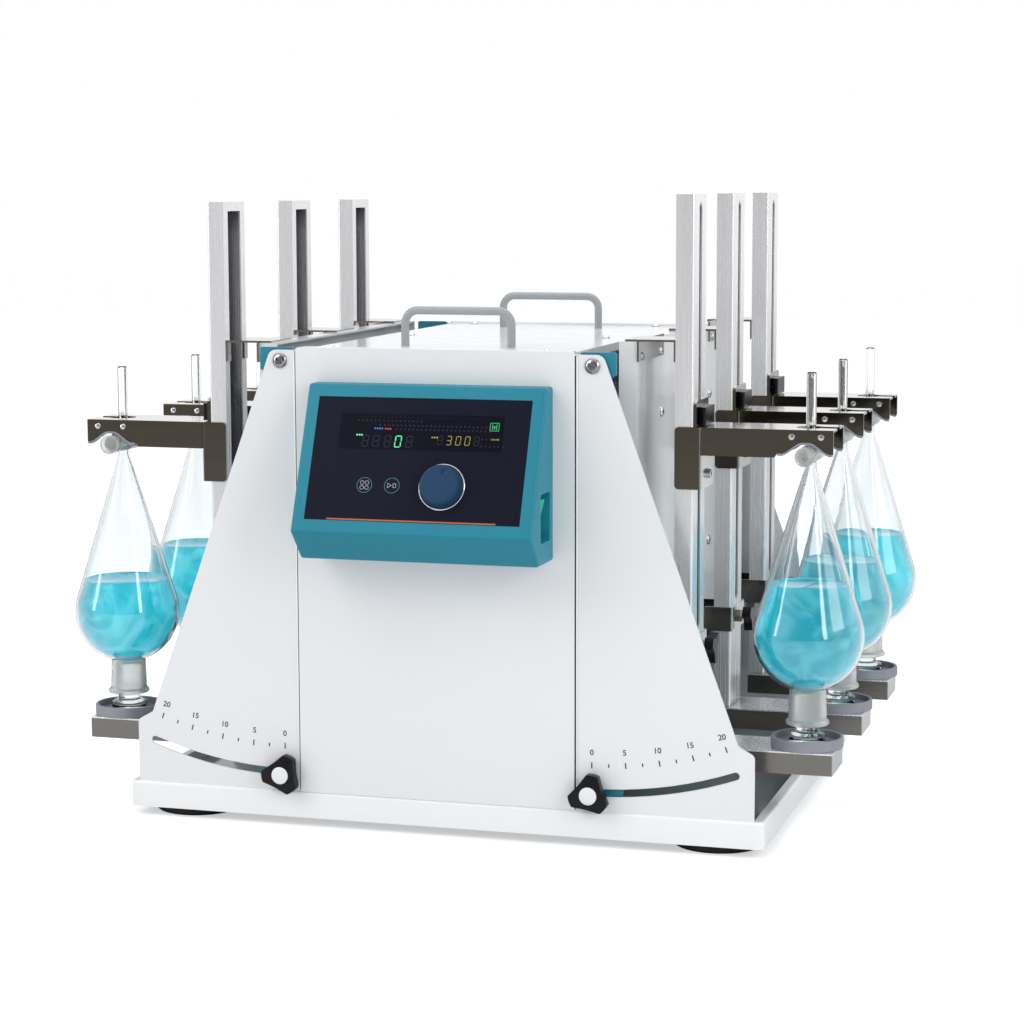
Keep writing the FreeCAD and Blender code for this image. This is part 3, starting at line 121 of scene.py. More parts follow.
class NodeBench:
    """Short hand for building one material's node tree."""

    def __init__(self, name: str) -> None:
        """Start a material with a single Principled shader.

        Args:
            name: Name of the material.
        """
        self.material = bpy.data.materials.new(name)
        self.material.use_nodes = True
        self.tree = self.material.node_tree
        self.shader = self.tree.nodes["Principled BSDF"]

    def add(self, kind: str, **values: object) -> bpy.types.Node:
        """Add a node and set its attributes and inputs.

        Args:
            kind: Node type without its ShaderNode prefix.
            values: Attributes by name, or inputs by name with blanks as underscores.

        Returns:
            The new node.
        """
        node = self.tree.nodes.new("ShaderNode" + kind)
        for key, value in values.items():
            if hasattr(node, key):
                setattr(node, key, value)
            else:
                node.inputs[key.replace("_", " ")].default_value = value
        return node

    def link(self, start: Socket, end: Socket) -> None:
        """Join two sockets."""
        self.tree.links.new(start, end)

    def set(self, **values: object) -> None:
        """Set the shader's own inputs by name, blanks as underscores."""
        for key, value in values.items():
            self.shader.inputs[key.replace("_", " ")].default_value = value

    def place(self, scale: Sequence[float] = (1.0, 1.0, 1.0)) -> Socket:
        """Object coordinates, stretched.

        Args:
            scale: Stretch along each axis.

        Returns:
            The vector socket.
        """
        where = self.add("TexCoord")
        mapping = self.add("Mapping")
        mapping.inputs["Scale"].default_value = scale
        self.link(where.outputs["Object"], mapping.inputs["Vector"])
        return mapping.outputs["Vector"]

    def noise(self, scale: float, detail: float = 2.0,
              stretch: Sequence[float] = (1.0, 1.0, 1.0)) -> Socket:
        """Noise on object coordinates.

        Args:
            scale: Repeats in a metre.
            detail: Octaves.
            stretch: Stretch along each axis.

        Returns:
            The factor socket.
        """
        node = self.add("TexNoise")
        node.inputs["Scale"].default_value = scale
        node.inputs["Detail"].default_value = detail
        self.link(self.place(stretch), node.inputs["Vector"])
        return node.outputs["Fac"]

    def swirl(self, scale: float) -> Socket:
        """Folded noise, like streaks of light in a liquid.

        Args:
            scale: Repeats in a metre.

        Returns:
            The factor socket.
        """
        node = self.add("TexNoise")
        node.inputs["Scale"].default_value = scale
        node.inputs["Detail"].default_value = 3.0
        node.inputs["Distortion"].default_value = 2.6
        self.link(self.place(), node.inputs["Vector"])
        return node.outputs["Fac"]

    def ramp(self, factor: Socket, low: float, high: float, dark: Colour, light: Colour) -> Socket:
        """Colour between two stops.

        Args:
            factor: Value that drives the ramp.
            low: Place of the dark stop.
            high: Place of the light stop.
            dark: Colour below the low stop.
            light: Colour above the high stop.

        Returns:
            The colour socket.
        """
        node = self.add("ValToRGB")
        node.color_ramp.elements[0].position = low
        node.color_ramp.elements[1].position = high
        node.color_ramp.elements[0].color = (*dark, 1.0)
        node.color_ramp.elements[1].color = (*light, 1.0)
        self.link(factor, node.inputs["Fac"])
        return node.outputs["Color"]

    def spread(self, factor: Socket, low: float, high: float) -> Socket:
        """Stretch a factor to the range from low to high.

        Args:
            factor: Value from 0 to 1.
            low: Result at 0.
            high: Result at 1.

        Returns:
            The value socket.
        """
        node = self.add("MapRange")
        node.inputs["To Min"].default_value = low
        node.inputs["To Max"].default_value = high
        self.link(factor, node.inputs["Value"])
        return node.outputs["Result"]

    def facing(self) -> Socket:
        """Factor that grows from 0, looking straight at a surface, to 1 along it."""
        return self.add("LayerWeight", Blend=0.4).outputs["Facing"]

    def axis_share(self, axis: str) -> Socket:
        """How squarely a surface faces along one axis of its object.

        Args:
            axis: X, Y or Z.

        Returns:
            The value socket, from 0 to 1.
        """
        split = self.add("SeparateXYZ")
        self.link(self.add("TexCoord").outputs["Normal"], split.inputs[0])
        size = self.add("Math", operation="ABSOLUTE")
        self.link(split.outputs[axis], size.inputs[0])
        return size.outputs[0]

    def below(self, height: float) -> Socket:
        """Mask of what lies under a height.

        Args:
            height: Height in metres.

        Returns:
            The value socket, 1 under the height and 0 above it.
        """
        split = self.add("SeparateXYZ")
        self.link(self.add("TexCoord").outputs["Object"], split.inputs[0])
        step = self.add("Math", operation="LESS_THAN")
        self.link(split.outputs["Z"], step.inputs[0])
        step.inputs[1].default_value = height
        return step.outputs[0]

    def both(self, first: Socket, second: Socket) -> Socket:
        """Product of two factors, kept from 0 to 1.

        Args:
            first: One factor.
            second: Other factor.

        Returns:
            The value socket.
        """
        node = self.add("Math", operation="MULTIPLY", use_clamp=True)
        self.link(first, node.inputs[0])
        self.link(second, node.inputs[1])
        return node.outputs[0]

    def hollow_shade_mask(self, reach: float) -> Socket:
        """Painted shade mask: 1 deep inside the piece's own hollows and 0 on its open faces.

        Args:
            reach: Distance that is looked over, in metres.

        Returns:
            The value socket.
        """
        node = self.add("AmbientOcclusion", samples=8, only_local=True)
        node.inputs["Distance"].default_value = reach
        return self.spread(node.outputs["AO"], 2.2, -0.7)

    def blend(self, factor: Socket, first: Socket, second: Socket) -> Socket:
        """Mix two colours.

        Args:
            factor: Share of the second colour.
            first: Colour at 0.
            second: Colour at 1.

        Returns:
            The colour socket.
        """
        node = self.add("Mix", data_type="RGBA")
        self.link(factor, node.inputs[0])
        self.link(first, node.inputs[MIX_FIRST])
        self.link(second, node.inputs[MIX_SECOND])
        return node.outputs[MIX_RESULT]

    def tint(self, colour: Socket) -> None:
        """Drive the shader's base colour."""
        self.link(colour, self.shader.inputs["Base Color"])

    def roughen(self, factor: Socket, low: float, high: float) -> None:
        """Drive the shader's roughness from a factor.

        Args:
            factor: Value from 0 to 1.
            low: Roughness at 0.
            high: Roughness at 1.
        """
        self.link(self.spread(factor, low, high), self.shader.inputs["Roughness"])

    def bump(self, height: Socket, strength: float, depth: float) -> None:
        """Drive the shader's normal from a height.

        Args:
            height: Height socket.
            strength: Strength of the bump.
            depth: Depth of the relief in metres.
        """
        node = self.add("Bump")
        node.inputs["Strength"].default_value = strength
        node.inputs["Distance"].default_value = depth
        self.link(height, node.inputs["Height"])
        self.link(node.outputs["Normal"], self.shader.inputs["Normal"])


@dataclass(frozen=True)
class PaintFinish:
    """Powder coat on sheet metal, with a faint orange peel."""

    name: str
    colour: Colour
    roughness: float = 0.32
    peel: float = 0.10
    dim: float = 0.97

    def build(self) -> bpy.types.Material:
        """Make the material.

        Returns:
            The material.
        """
        bench = NodeBench(self.name)
        bench.tint(bench.ramp(bench.noise(3.0), 0.35, 0.65, shade(self.colour, self.dim), self.colour))
        bench.roughen(bench.noise(60.0), self.roughness - 0.03, self.roughness + 0.04)
        bench.set(Specular_IOR_Level=0.5)
        bench.bump(bench.noise(700.0, 1.0), self.peel, 0.0002)
        return bench.material


@dataclass(frozen=True)
class PlasticFinish:
    """Moulded plastic with a fine spark-eroded grain."""

    name: str
    colour: Colour
    roughness: float = 0.42
    grain: float = 0.18
    glow: float = 0.0
    gloss: float = 0.5

    def build(self) -> bpy.types.Material:
        """Make the material.

        Returns:
            The material.
        """
        bench = NodeBench(self.name)
        bench.tint(bench.ramp(bench.noise(9.0), 0.3, 0.7, shade(self.colour, 0.93), self.colour))
        bench.roughen(bench.noise(90.0), self.roughness - 0.04, self.roughness + 0.05)
        bench.set(Specular_IOR_Level=self.gloss)
        if self.glow:
            bench.set(Emission_Color=(*self.colour, 1.0), Emission_Strength=self.glow)
        bench.bump(bench.noise(2600.0, 1.0), self.grain, 0.0001)
        return bench.material


@dataclass(frozen=True)
class RubberFinish:
    """Matt rubber with a slight bloom."""

    name: str
    colour: Colour
    roughness: float = 0.62

    def build(self) -> bpy.types.Material:
        """Make the material.

        Returns:
            The material.
        """
        bench = NodeBench(self.name)
        bench.tint(bench.ramp(bench.noise(45.0, 4.0), 0.3, 0.75, shade(self.colour, 0.82), self.colour))
        bench.set(Roughness=self.roughness, Specular_IOR_Level=0.35)
        bench.bump(bench.noise(1500.0, 3.0), 0.3, 0.0001)
        return bench.material


@dataclass(frozen=True)
class SteelFinish:
    """Stainless sheet with a brushed grain, and painted shade on faces along Y where a front colour is
    given.
    """

    name: str
    colour: Colour
    roughness: float
    grain: Grain
    contrast: float = 0.12
    depth: float = 0.12
    # Colour of the painted shade on faces along Y, a painted dark reflection
    front: Colour | None = None

    def build(self) -> bpy.types.Material:
        """Make the material.

        Returns:
            The material.
        """
        bench = NodeBench(self.name)
        lines = bench.noise(1.0, 3.0, self.grain.value)
        dim = shade(self.colour, 1 - self.contrast)
        bright = tuple(min(1.0, c) for c in shade(self.colour, 1 + self.contrast))
        tint = bench.ramp(lines, 0.3, 0.7, dim, bright)
        # Painted shade: faces along Y take the darker front colour as a painted reflection
        if self.front:
            flat = bench.spread(bench.axis_share("Y"), -1.2, 1.0)
            face = bench.ramp(lines, 0.3, 0.7, self.front, shade(self.front, 1.1))
            tint = bench.blend(flat, tint, face)
        bench.tint(tint)
        bench.set(Metallic=1.0)
        bench.roughen(lines, self.roughness - 0.05, self.roughness + 0.07)
        bench.bump(lines, self.depth, 0.00008)
        return bench.material


@dataclass(frozen=True)
class PostFinish:
    """Upright brushed posts with painted shade in their hollows and, under a height, lengthwise-brushed
    trays with painted light.
    """

    name: str
    colour: Colour
    # Browner tray colour on faces along Y, darkened as a painted reflection
    tray: Colour
    # Painted shade colour deep in the posts' hollows
    inside: Colour
    tray_top: float
    roughness: float = 0.26
    # Reach of the painted shade in the hollows, in metres
    reach: float = 0.03

    def build(self) -> bpy.types.Material:
        """Make the material.

        Returns:
            The material.
        """
        bench = NodeBench(self.name)
        upright = bench.noise(1.0, 3.0, Grain.UPRIGHT.value)
        level = bench.noise(1.0, 3.0, Grain.ALONG_X.value)
        post = bench.ramp(upright, 0.25, 0.75, shade(self.colour, 0.92), self.colour)
        # Painted shade for the posts' hollows
        hollow = bench.ramp(upright, 0.25, 0.75, self.inside, shade(self.inside, 1.3))
        face = bench.ramp(level, 0.25, 0.75, shade(self.tray, 0.93), self.tray)
        # Painted reflection: tray faces that do not face along Y are lighter than the faces along Y
        top = bench.ramp(level, 0.25, 0.75, shade(self.colour, 0.6), shade(self.colour, 0.66))
        low = bench.below(self.tray_top)
        flat = bench.spread(bench.axis_share("Y"), -0.6, 1.0)
        # Painted shade where the piece is hidden inside its own hollows
        post = bench.blend(bench.hollow_shade_mask(self.reach), post, hollow)
        bench.tint(bench.blend(low, post, bench.blend(flat, top, face)))
        bench.link(bench.spread(low, 0.6, 1.0), bench.shader.inputs["Metallic"])
        lines = bench.blend(low, upright, level)
        bench.roughen(lines, self.roughness - 0.04, self.roughness + 0.05)
        bench.bump(lines, 0.05, 0.00005)
        return bench.material


@dataclass(frozen=True)
class TrayFinish:
    """Base tray: coated rim, and a glossier and darker floor inside it."""

    name: str
    colour: Colour
    floor: Colour
    floor_top: float

    def build(self) -> bpy.types.Material:
        """Make the material.

        Returns:
            The material.
        """
        bench = NodeBench(self.name)
        rim = bench.ramp(bench.noise(3.0), 0.35, 0.65, shade(self.colour, 0.97), self.colour)
        base = bench.ramp(bench.noise(4.0), 0.35, 0.65, shade(self.floor, 0.94), self.floor)
        inside = bench.both(bench.below(self.floor_top), bench.spread(bench.axis_share("Z"), -1.0, 1.0))
        bench.tint(bench.blend(inside, rim, base))
        bench.roughen(inside, 0.3, 0.1)
        bench.bump(bench.noise(700.0, 1.0), 0.06, 0.0002)
        return bench.material


@dataclass(frozen=True)
class GlassFinish:
    """Clear glass, painted darker as shade where it is seen along its wall, or ground glass where it is
    rough.
    """

    name: str
    colour: Colour = (0.925, 0.943, 0.948)
    # Colour of the painted shade where the glass is seen along its wall
    edge: Colour = (0.24, 0.28, 0.29)
    roughness: float = 0.0
    ior: float = 1.45
    clarity: float = 1.0

    def build(self) -> bpy.types.Material:
        """Make the material.

        Returns:
            The material.
        """
        bench = NodeBench(self.name)
        # Painted shade: the colour darkens towards the edge colour where the wall is seen edge-on
        bench.tint(bench.ramp(bench.facing(), 0.5, 0.9, self.colour, self.edge))
        bench.set(Transmission_Weight=self.clarity, IOR=self.ior)
        if self.roughness:
            bench.roughen(bench.noise(900.0, 3.0), self.roughness - 0.1, self.roughness + 0.1)
            bench.bump(bench.noise(2500.0, 2.0), 0.35, 0.0001)
        else:
            bench.set(Roughness=0.0)
            bench.bump(bench.noise(18.0, 1.0), 0.02, 0.0004)
        return bench.material


@dataclass(frozen=True)
class LiquidFinish:
    """Dyed water with painted highlights as lighter streaks, painted shade along its edge and a painted
    glow from within.
    """

    name: str
    colour: Colour
    body: Colour
    # Colour of the painted shade along the liquid's edge
    rim: Colour = (0.34, 0.5, 0.62)

    def build(self) -> bpy.types.Material:
        """Make the material.

        Returns:
            The material.
        """
        bench = NodeBench(self.name)
        # Painted highlight: lighter streaks over the dye colour
        clear = bench.ramp(bench.swirl(19.0), 0.46, 0.62, self.body, self.colour)
        # Painted shade along the edge
        rim = bench.ramp(bench.facing(), 0.5, 1.0, (1.0, 1.0, 1.0), self.rim)
        mix = bench.add("Mix", data_type="RGBA", blend_type="MULTIPLY")
        mix.inputs[0].default_value = 1.0
        bench.link(clear, mix.inputs[MIX_FIRST])
        bench.link(rim, mix.inputs[MIX_SECOND])
        bench.tint(mix.outputs[MIX_RESULT])
        # Painted glow: the liquid's colour is also emitted
        bench.link(mix.outputs[MIX_RESULT], bench.shader.inputs["Emission Color"])
        bench.set(Transmission_Weight=0.66, Roughness=0.01, IOR=1.33, Emission_Strength=0.19)
        return bench.material


@dataclass(frozen=True)
class InkFinish:
    """Printed mark or lit segment."""

    name: str
    colour: Colour
    glow: float = 0.0

    def build(self) -> bpy.types.Material:
        """Make the material.

        Returns:
            The material.
        """
        bench = NodeBench(self.name)
        bench.set(Base_Color=(*self.colour, 1.0), Roughness=0.5, Specular_IOR_Level=0.2)
        if self.glow:
            bench.set(Emission_Color=(*self.colour, 1.0), Emission_Strength=self.glow)
        return bench.material


@dataclass(frozen=True)
class PanelGlassFinish:
    """Dark tinted front glass of the controls."""

    name: str
    colour: Colour

    def build(self) -> bpy.types.Material:
        """Make the material.

        Returns:
            The material.
        """
        bench = NodeBench(self.name)
        bench.tint(bench.ramp(bench.noise(12.0), 0.3, 0.7, self.colour, shade(self.colour, 1.15)))
        bench.set(Roughness=0.22, Specular_IOR_Level=0.03)
        bench.bump(bench.noise(9.0, 1.0), 0.05, 0.0004)
        return bench.material


class Wardrobe:
    """Every finish of the machine, made once."""

    def __init__(self) -> None:
        """Build all the materials."""
        # Post colour, tray colour darkened by painted reflection, and painted shade colour of the hollows
        post = (linear("EFEFF1"), linear("83807B"), linear("77777C"))
        finishes = [
            PaintFinish("white_coat", linear("E9EAEC"), 0.30),
            TrayFinish("tray_coat", linear("F4F5F6"), linear("8A9093"), 0.0236),
            PaintFinish("top_coat", linear("E4E7EA"), 0.14, 0.04),
            PaintFinish("carriage_coat", linear("E6E8EA"), 0.13, 0.04),
            # Lighter coat of the folded seam edges, a painted highlight
            PaintFinish("edge_coat", linear("FCFCFD"), 0.2, 0.02),
            PaintFinish("handle_coat", linear("A0A4A7"), 0.3, 0.15),
            PaintFinish("teal_coat", linear("1C8298"), 0.34),
            PaintFinish("motor_coat", linear("4C4F54"), 0.4),
            PlasticFinish("teal_case", linear("1D8197"), 0.4, gloss=0.25),
            PlasticFinish("blue_dial", linear("1D3D5D"), 0.3, gloss=0.14),
            PlasticFinish("green_switch", linear("2FB27C"), 0.2, 0.05, 0.35),
            PlasticFinish("black_knob", linear("121318"), 0.28, gloss=0.22),
            PlasticFinish("white_cap", linear("EDEEF0"), 0.4),
            PlasticFinish("black_inlet", linear("1B1C1F"), 0.5),
            PanelGlassFinish("panel_glass", linear("1A1B28")),
            PanelGlassFinish("display_window", linear("10111B")),
            RubberFinish("black_rubber", linear("1C1C1E")),
            RubberFinish("grey_rubber", linear("9495A0"), 0.55),
            RubberFinish("lining_rubber", linear("8E93A0"), 0.5),
            # Painted shadow strips for the gaps beside the covers
            RubberFinish("gap_shadow", linear("2B2D30"), 0.8),
            PostFinish("left_post_steel", *post, 0.087),
            PostFinish("right_post_steel", *post, 0.094),
            # Arm steel: the last colour is painted shade on faces along Y
            SteelFinish("arm_steel", linear("D2D0CC"), 0.14, Grain.ALONG_X, 0.03, 0.03, linear("5B554B")),
            SteelFinish("bright_steel", linear("C9C9CC"), 0.14, Grain.FINE, 0.05, 0.05),
            # Fitting steel: the last colour is painted shade on faces along Y
            SteelFinish("fitting_steel", linear("C9C8C5"), 0.16, Grain.ALONG_X, 0.04, 0.03,
                        linear("86827A")),
            SteelFinish("bolt_steel", linear("97969B"), 0.08, Grain.FINE, 0.05, 0.03),
            SteelFinish("alloy", linear("BFC2C5"), 0.35, Grain.FINE, 0.06),
            SteelFinish("dial_ring", linear("D5D6D8"), 0.1, Grain.FINE, 0.03, 0.02),
            # Clear glass and ground glass, both with painted shade where their walls are seen edge-on
            GlassFinish("clear_glass"),
            GlassFinish("ground_glass", (0.95, 0.97, 0.96), (0.74, 0.79, 0.79), 0.33, clarity=0.86),
            # Blue liquid with painted highlights, painted shade and a painted glow
            LiquidFinish("blue_liquid", (0.15, 0.76, 0.85), (0.03, 0.56, 0.69)),
            InkFinish("black_ink", linear("26282B")),
            InkFinish("white_ink", linear("A9AFB7")),
            InkFinish("teal_ink", linear("4F8C9B")),
            InkFinish("dim_ink", linear("20222D")),
            # Orange print with a faint painted glow
            InkFinish("orange_line", linear("AA5F43"), 0.1),
            InkFinish("icon_light", linear("2E9E60"), 0.4),
            InkFinish("green_light", linear("55D98A"), 0.55),
            InkFinish("yellow_light", linear("8A7C3C"), 0.45),
            InkFinish("red_light", linear("B0372F"), 0.5),
            InkFinish("blue_light", linear("2F66B4"), 0.5),
        ]
        self.materials = {f.name: f.build() for f in finishes}

    def __getitem__(self, name: str) -> bpy.types.Material:
        """Look a material up by name."""
        return self.materials[name]

    def pick(self, *names: str) -> list[bpy.types.Material]:
        """Look several materials up by name."""
        return [self.materials[name] for name in names]

    def dress(self, node: str, name: str) -> None:
        """Give a CAD node its finish.

        Args:
            node: Name of the CAD node.
            name: Name of the finish.
        """
        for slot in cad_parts[node].material_slots:
            slot.material = self.materials[name]


# Mesh making


class Sketch:
    """Collects closed surfaces, in millimetres, and turns them into one mesh object."""

    def __init__(self) -> None:
        """Start empty."""
        self.points: list[Vector] = []
        self.faces: list[Face] = []
        self.marks: list[int] = []
        self.mark = 0

    def add(self, points: Iterable[Sequence[float]], faces: Iterable[Sequence[int]]) -> None:
        """Add one surface.

        Args:
            points: Its corners.
            faces: Its faces, as indices into the points.
        """
        base = len(self.points)
        self.points += [Vector(p) for p in points]
        for f in faces:
            self.faces.append(tuple(base + i for i in f))
            self.marks.append(self.mark)

    def lathe(self, profile: Sequence[Pair], place: Matrix, steps: int = 64) -> None:
        """Turn a profile about the Z axis of a place; the profile closes on itself or on the axis.

        Args:
            profile: Radius and height pairs, anticlockwise with the axis on the left.
            place: Where the turned body's own axes go.
            steps: Number of facets round the axis.
        """
        rings: list[list[int]] = []
        points: list[Vector] = []
        for radius, height in profile:
            if radius < 1e-6:
                rings.append([len(points)])
                points.append(place @ Vector((0.0, 0.0, height)))
                continue
            rings.append(list(range(len(points), len(points) + steps)))
            for i in range(steps):
                a = math.tau * i / steps
                points.append(place @ Vector((radius * math.cos(a), radius * math.sin(a), height)))
        faces: list[Face] = []
        for low, high in zip(rings, rings[1:] + rings[:1]):
            if len(low) == 1 and len(high) == 1:
                continue
            for i in range(steps):
                j = (i + 1) % steps
                if len(low) == 1:
                    faces.append((low[0], high[j], high[i]))
                elif len(high) == 1:
                    faces.append((low[i], low[j], high[0]))
                else:
                    faces.append((low[i], low[j], high[j], high[i]))
        self.add(points, faces)

    def prism(self, outline: Sequence[Pair], place: Matrix, low: float, high: float) -> None:
        """Extrude an anticlockwise outline along the Z axis of a place.

        Args:
            outline: Corners in the place's X and Y.
            place: Where the prism's own axes go.
            low: Height of the lower face.
            high: Height of the upper face.
        """
        n = len(outline)
        points = [place @ Vector((x, y, z)) for z in (low, high) for x, y in outline]
        faces: list[Face] = [tuple(reversed(range(n))), tuple(range(n, 2 * n))]
        faces += [(i, (i + 1) % n, n + (i + 1) % n, n + i) for i in range(n)]
        self.add(points, faces)

    def box(self, low: Sequence[float], high: Sequence[float], place: Matrix | None = None) -> None:
        """Add a box between two corners.

        Args:
            low: Lowest corner.
            high: Highest corner.
            place: Where the box's own axes go.
        """
        place = place or Matrix.Identity(4)
        outline = [(low[0], low[1]), (high[0], low[1]), (high[0], high[1]), (low[0], high[1])]
        self.prism(outline, place, low[2], high[2])

    def finish(self, name: str, materials: Sequence[bpy.types.Material], sharp: float = 32.0,
               bevel: float = 0.0) -> bpy.types.Object:
        """Make the object.

        Args:
            name: Name of the piece.
            materials: Its materials, in the order of the marks.
            sharp: Edges steeper than this angle stay sharp.
            bevel: Width of a rounded edge in millimetres, or 0.

        Returns:
            The mesh object, at the origin.
        """
        mesh = bpy.data.meshes.new(name)
        mesh.from_pydata([p * MM for p in self.points], [], self.faces)
        for material in materials:
            mesh.materials.append(material)
        for polygon, mark in zip(mesh.polygons, self.marks):
            polygon.material_index = mark
        build = bmesh.new()
        build.from_mesh(mesh)
        bmesh.ops.recalc_face_normals(build, faces=build.faces)
        if bevel:
            limit = math.radians(sharp)
            edges = [e for e in build.edges if len(e.link_faces) == 2 and e.calc_face_angle(0.0) > limit]
            bmesh.ops.bevel(build, geom=edges, offset=bevel * MM, segments=2, profile=0.5, affect="EDGES",
                            clamp_overlap=True)
        build.to_mesh(mesh)
        build.free()
        mesh.shade_smooth()
        mesh.set_sharp_from_angle(angle=math.radians(sharp))
        piece = bpy.data.objects.new(name, mesh)
        bpy.context.scene.collection.objects.link(piece)
        return piece


def settle(piece: bpy.types.Object, body: str, slot: str, *replaced: str) -> bpy.types.Object:
    """Attach a finished piece to its body and hide the CAD nodes that it stands for.

    Args:
        piece: The finished object.
        body: The body that it moves with.
        slot: The record's material slot; not used.
        replaced: CAD nodes that it stands for.

    Returns:
        The same object.
    """
    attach(piece, body)
    if replaced:
        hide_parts(*replaced)
    LOG.info("%s rides on %s (%d faces)", piece.name, body, len(piece.data.polygons))
    return piece


def arc(radius: float, start: float, end: float, steps: int, centre: Pair = (0.0, 0.0)) -> list[Pair]:
    """Points on an arc.

    Args:
        radius: Radius of the arc.
        start: First angle in degrees.
        end: Last angle in degrees.
        steps: Number of spaces between the points.
        centre: Centre of the arc.

    Returns:
        The points, both ends included.
    """
    points = []
    for i in range(steps + 1):
        a = math.radians(start + (end - start) * i / steps)
        points.append((centre[0] + radius * math.cos(a), centre[1] + radius * math.sin(a)))
    return points


def facing(origin: Sequence[float], out: Sequence[float], up: Sequence[float] = (0.0, 0.0, 1.0)) -> Matrix:
    """Place whose Z axis points out and whose Y axis is as near as can be to up.

    Args:
        origin: Origin of the place.
        out: Direction of its Z axis.
        up: Direction that its Y axis leans to.

    Returns:
        The place.
    """
    z = Vector(out).normalized()
    x = Vector(up).cross(z).normalized()
    y = z.cross(x)
    turn = Matrix((x, y, z)).transposed().to_4x4()
    return Matrix.Translation(Vector(origin)) @ turn


def upright(x: float, y: float, z: float) -> Matrix:
    """Place with the world's own directions."""
    return Matrix.Translation(Vector((x, y, z)))


# Repeats made with Geometry Nodes


class Repeater:
    """Tree that sets a prototype on every point of a mesh, turned at random about one axis."""

    def __init__(self) -> None:
        """Build the node tree with its named inputs."""
        tree = bpy.data.node_groups.new("set_on_points", "GeometryNodeTree")
        face = tree.interface
        face.new_socket("Points", in_out="INPUT", socket_type="NodeSocketGeometry")
        face.new_socket("Result", in_out="OUTPUT", socket_type="NodeSocketGeometry")
        self.sockets = {
            "Prototype": face.new_socket("Prototype", in_out="INPUT", socket_type="NodeSocketObject"),
            "Size": face.new_socket("Size", in_out="INPUT", socket_type="NodeSocketFloat"),
            "Turn": face.new_socket("Turn", in_out="INPUT", socket_type="NodeSocketVector"),
            "Seed": face.new_socket("Seed", in_out="INPUT", socket_type="NodeSocketInt"),
            "Finish": face.new_socket("Finish", in_out="INPUT", socket_type="NodeSocketMaterial"),
        }
        nodes, link = tree.nodes, tree.links.new
        enter, leave = nodes.new("NodeGroupInput"), nodes.new("NodeGroupOutput")
        source = nodes.new("GeometryNodeObjectInfo")
        put = nodes.new("GeometryNodeInstanceOnPoints")
        spin = nodes.new("FunctionNodeRandomValue")
        local = nodes.new("ShaderNodeCombineXYZ")
        tilt = nodes.new("GeometryNodeRotateInstances")
        real = nodes.new("GeometryNodeRealizeInstances")
        coat = nodes.new("GeometryNodeSetMaterial")
        spin.data_type = "FLOAT"
        spin.inputs[2].default_value = 0.0
        spin.inputs[3].default_value = math.tau
        link(enter.outputs["Prototype"], source.inputs["Object"])
        link(enter.outputs["Points"], put.inputs["Points"])
        link(source.outputs["Geometry"], put.inputs["Instance"])
        link(enter.outputs["Seed"], spin.inputs["Seed"])
        link(spin.outputs[1], local.inputs["Z"])
        link(enter.outputs["Turn"], put.inputs["Rotation"])
        link(enter.outputs["Size"], put.inputs["Scale"])
        link(put.outputs["Instances"], tilt.inputs["Instances"])
        tilt.inputs["Local Space"].default_value = True
        link(local.outputs["Vector"], tilt.inputs["Rotation"])
        link(tilt.outputs["Instances"], real.inputs["Geometry"])
        link(real.outputs["Geometry"], coat.inputs["Geometry"])
        link(enter.outputs["Finish"], coat.inputs["Material"])
        link(coat.outputs["Geometry"], leave.inputs["Result"])
        self.tree = tree

    def spread(self, name: str, places: Sequence[Point], prototype: bpy.types.Object, out: Sequence[float],
               size: float, finish: bpy.types.Material, seed: int = 3) -> bpy.types.Object:
        """Set the prototype on every place, its Z axis pointing out.

        Args:
            name: Name of the finished piece.
            places: Points in millimetres.
            prototype: Object to repeat, modelled in millimetres about the origin.
            out: Direction that the prototype's Z axis takes.
            size: Scale of the prototype.
            finish: Material of the result.
            seed: Seed of the random turns.

        Returns:
            A plain mesh object.
        """
        cloud = bpy.data.meshes.new(name + "_points")
        cloud.from_pydata([Vector(p) * MM for p in places], [], [])
        carrier = bpy.data.objects.new(name + "_carrier", cloud)
        bpy.context.scene.collection.objects.link(carrier)
        modifier = carrier.modifiers.new("repeat", "NODES")
        modifier.node_group = self.tree
        turn = Vector((0.0, 0.0, 1.0)).rotation_difference(Vector(out)).to_euler()
        values = {"Prototype": prototype, "Size": size, "Turn": tuple(turn), "Seed": seed, "Finish": finish}
        for key, value in values.items():
            modifier[self.sockets[key].identifier] = value
        return harden(carrier, name)


def harden(carrier: bpy.types.Object, name: str, sharp: float = 32.0) -> bpy.types.Object:
    """Turn a carrier with a Geometry Nodes modifier into a plain mesh object.

    Args:
        carrier: The object with the modifier.
        name: Name of the finished piece.
        sharp: Edges steeper than this angle stay sharp.

    Returns:
        The plain mesh object.
    """
    bpy.context.view_layer.update()
    graph = bpy.context.evaluated_depsgraph_get()
    mesh = bpy.data.meshes.new_from_object(carrier.evaluated_get(graph))
    carrier.modifiers.clear()
    bpy.data.objects.remove(carrier)
    mesh.name = name
    mesh.shade_smooth()
    mesh.set_sharp_from_angle(angle=math.radians(sharp))
    piece = bpy.data.objects.new(name, mesh)
    bpy.context.scene.collection.objects.link(piece)
    return piece


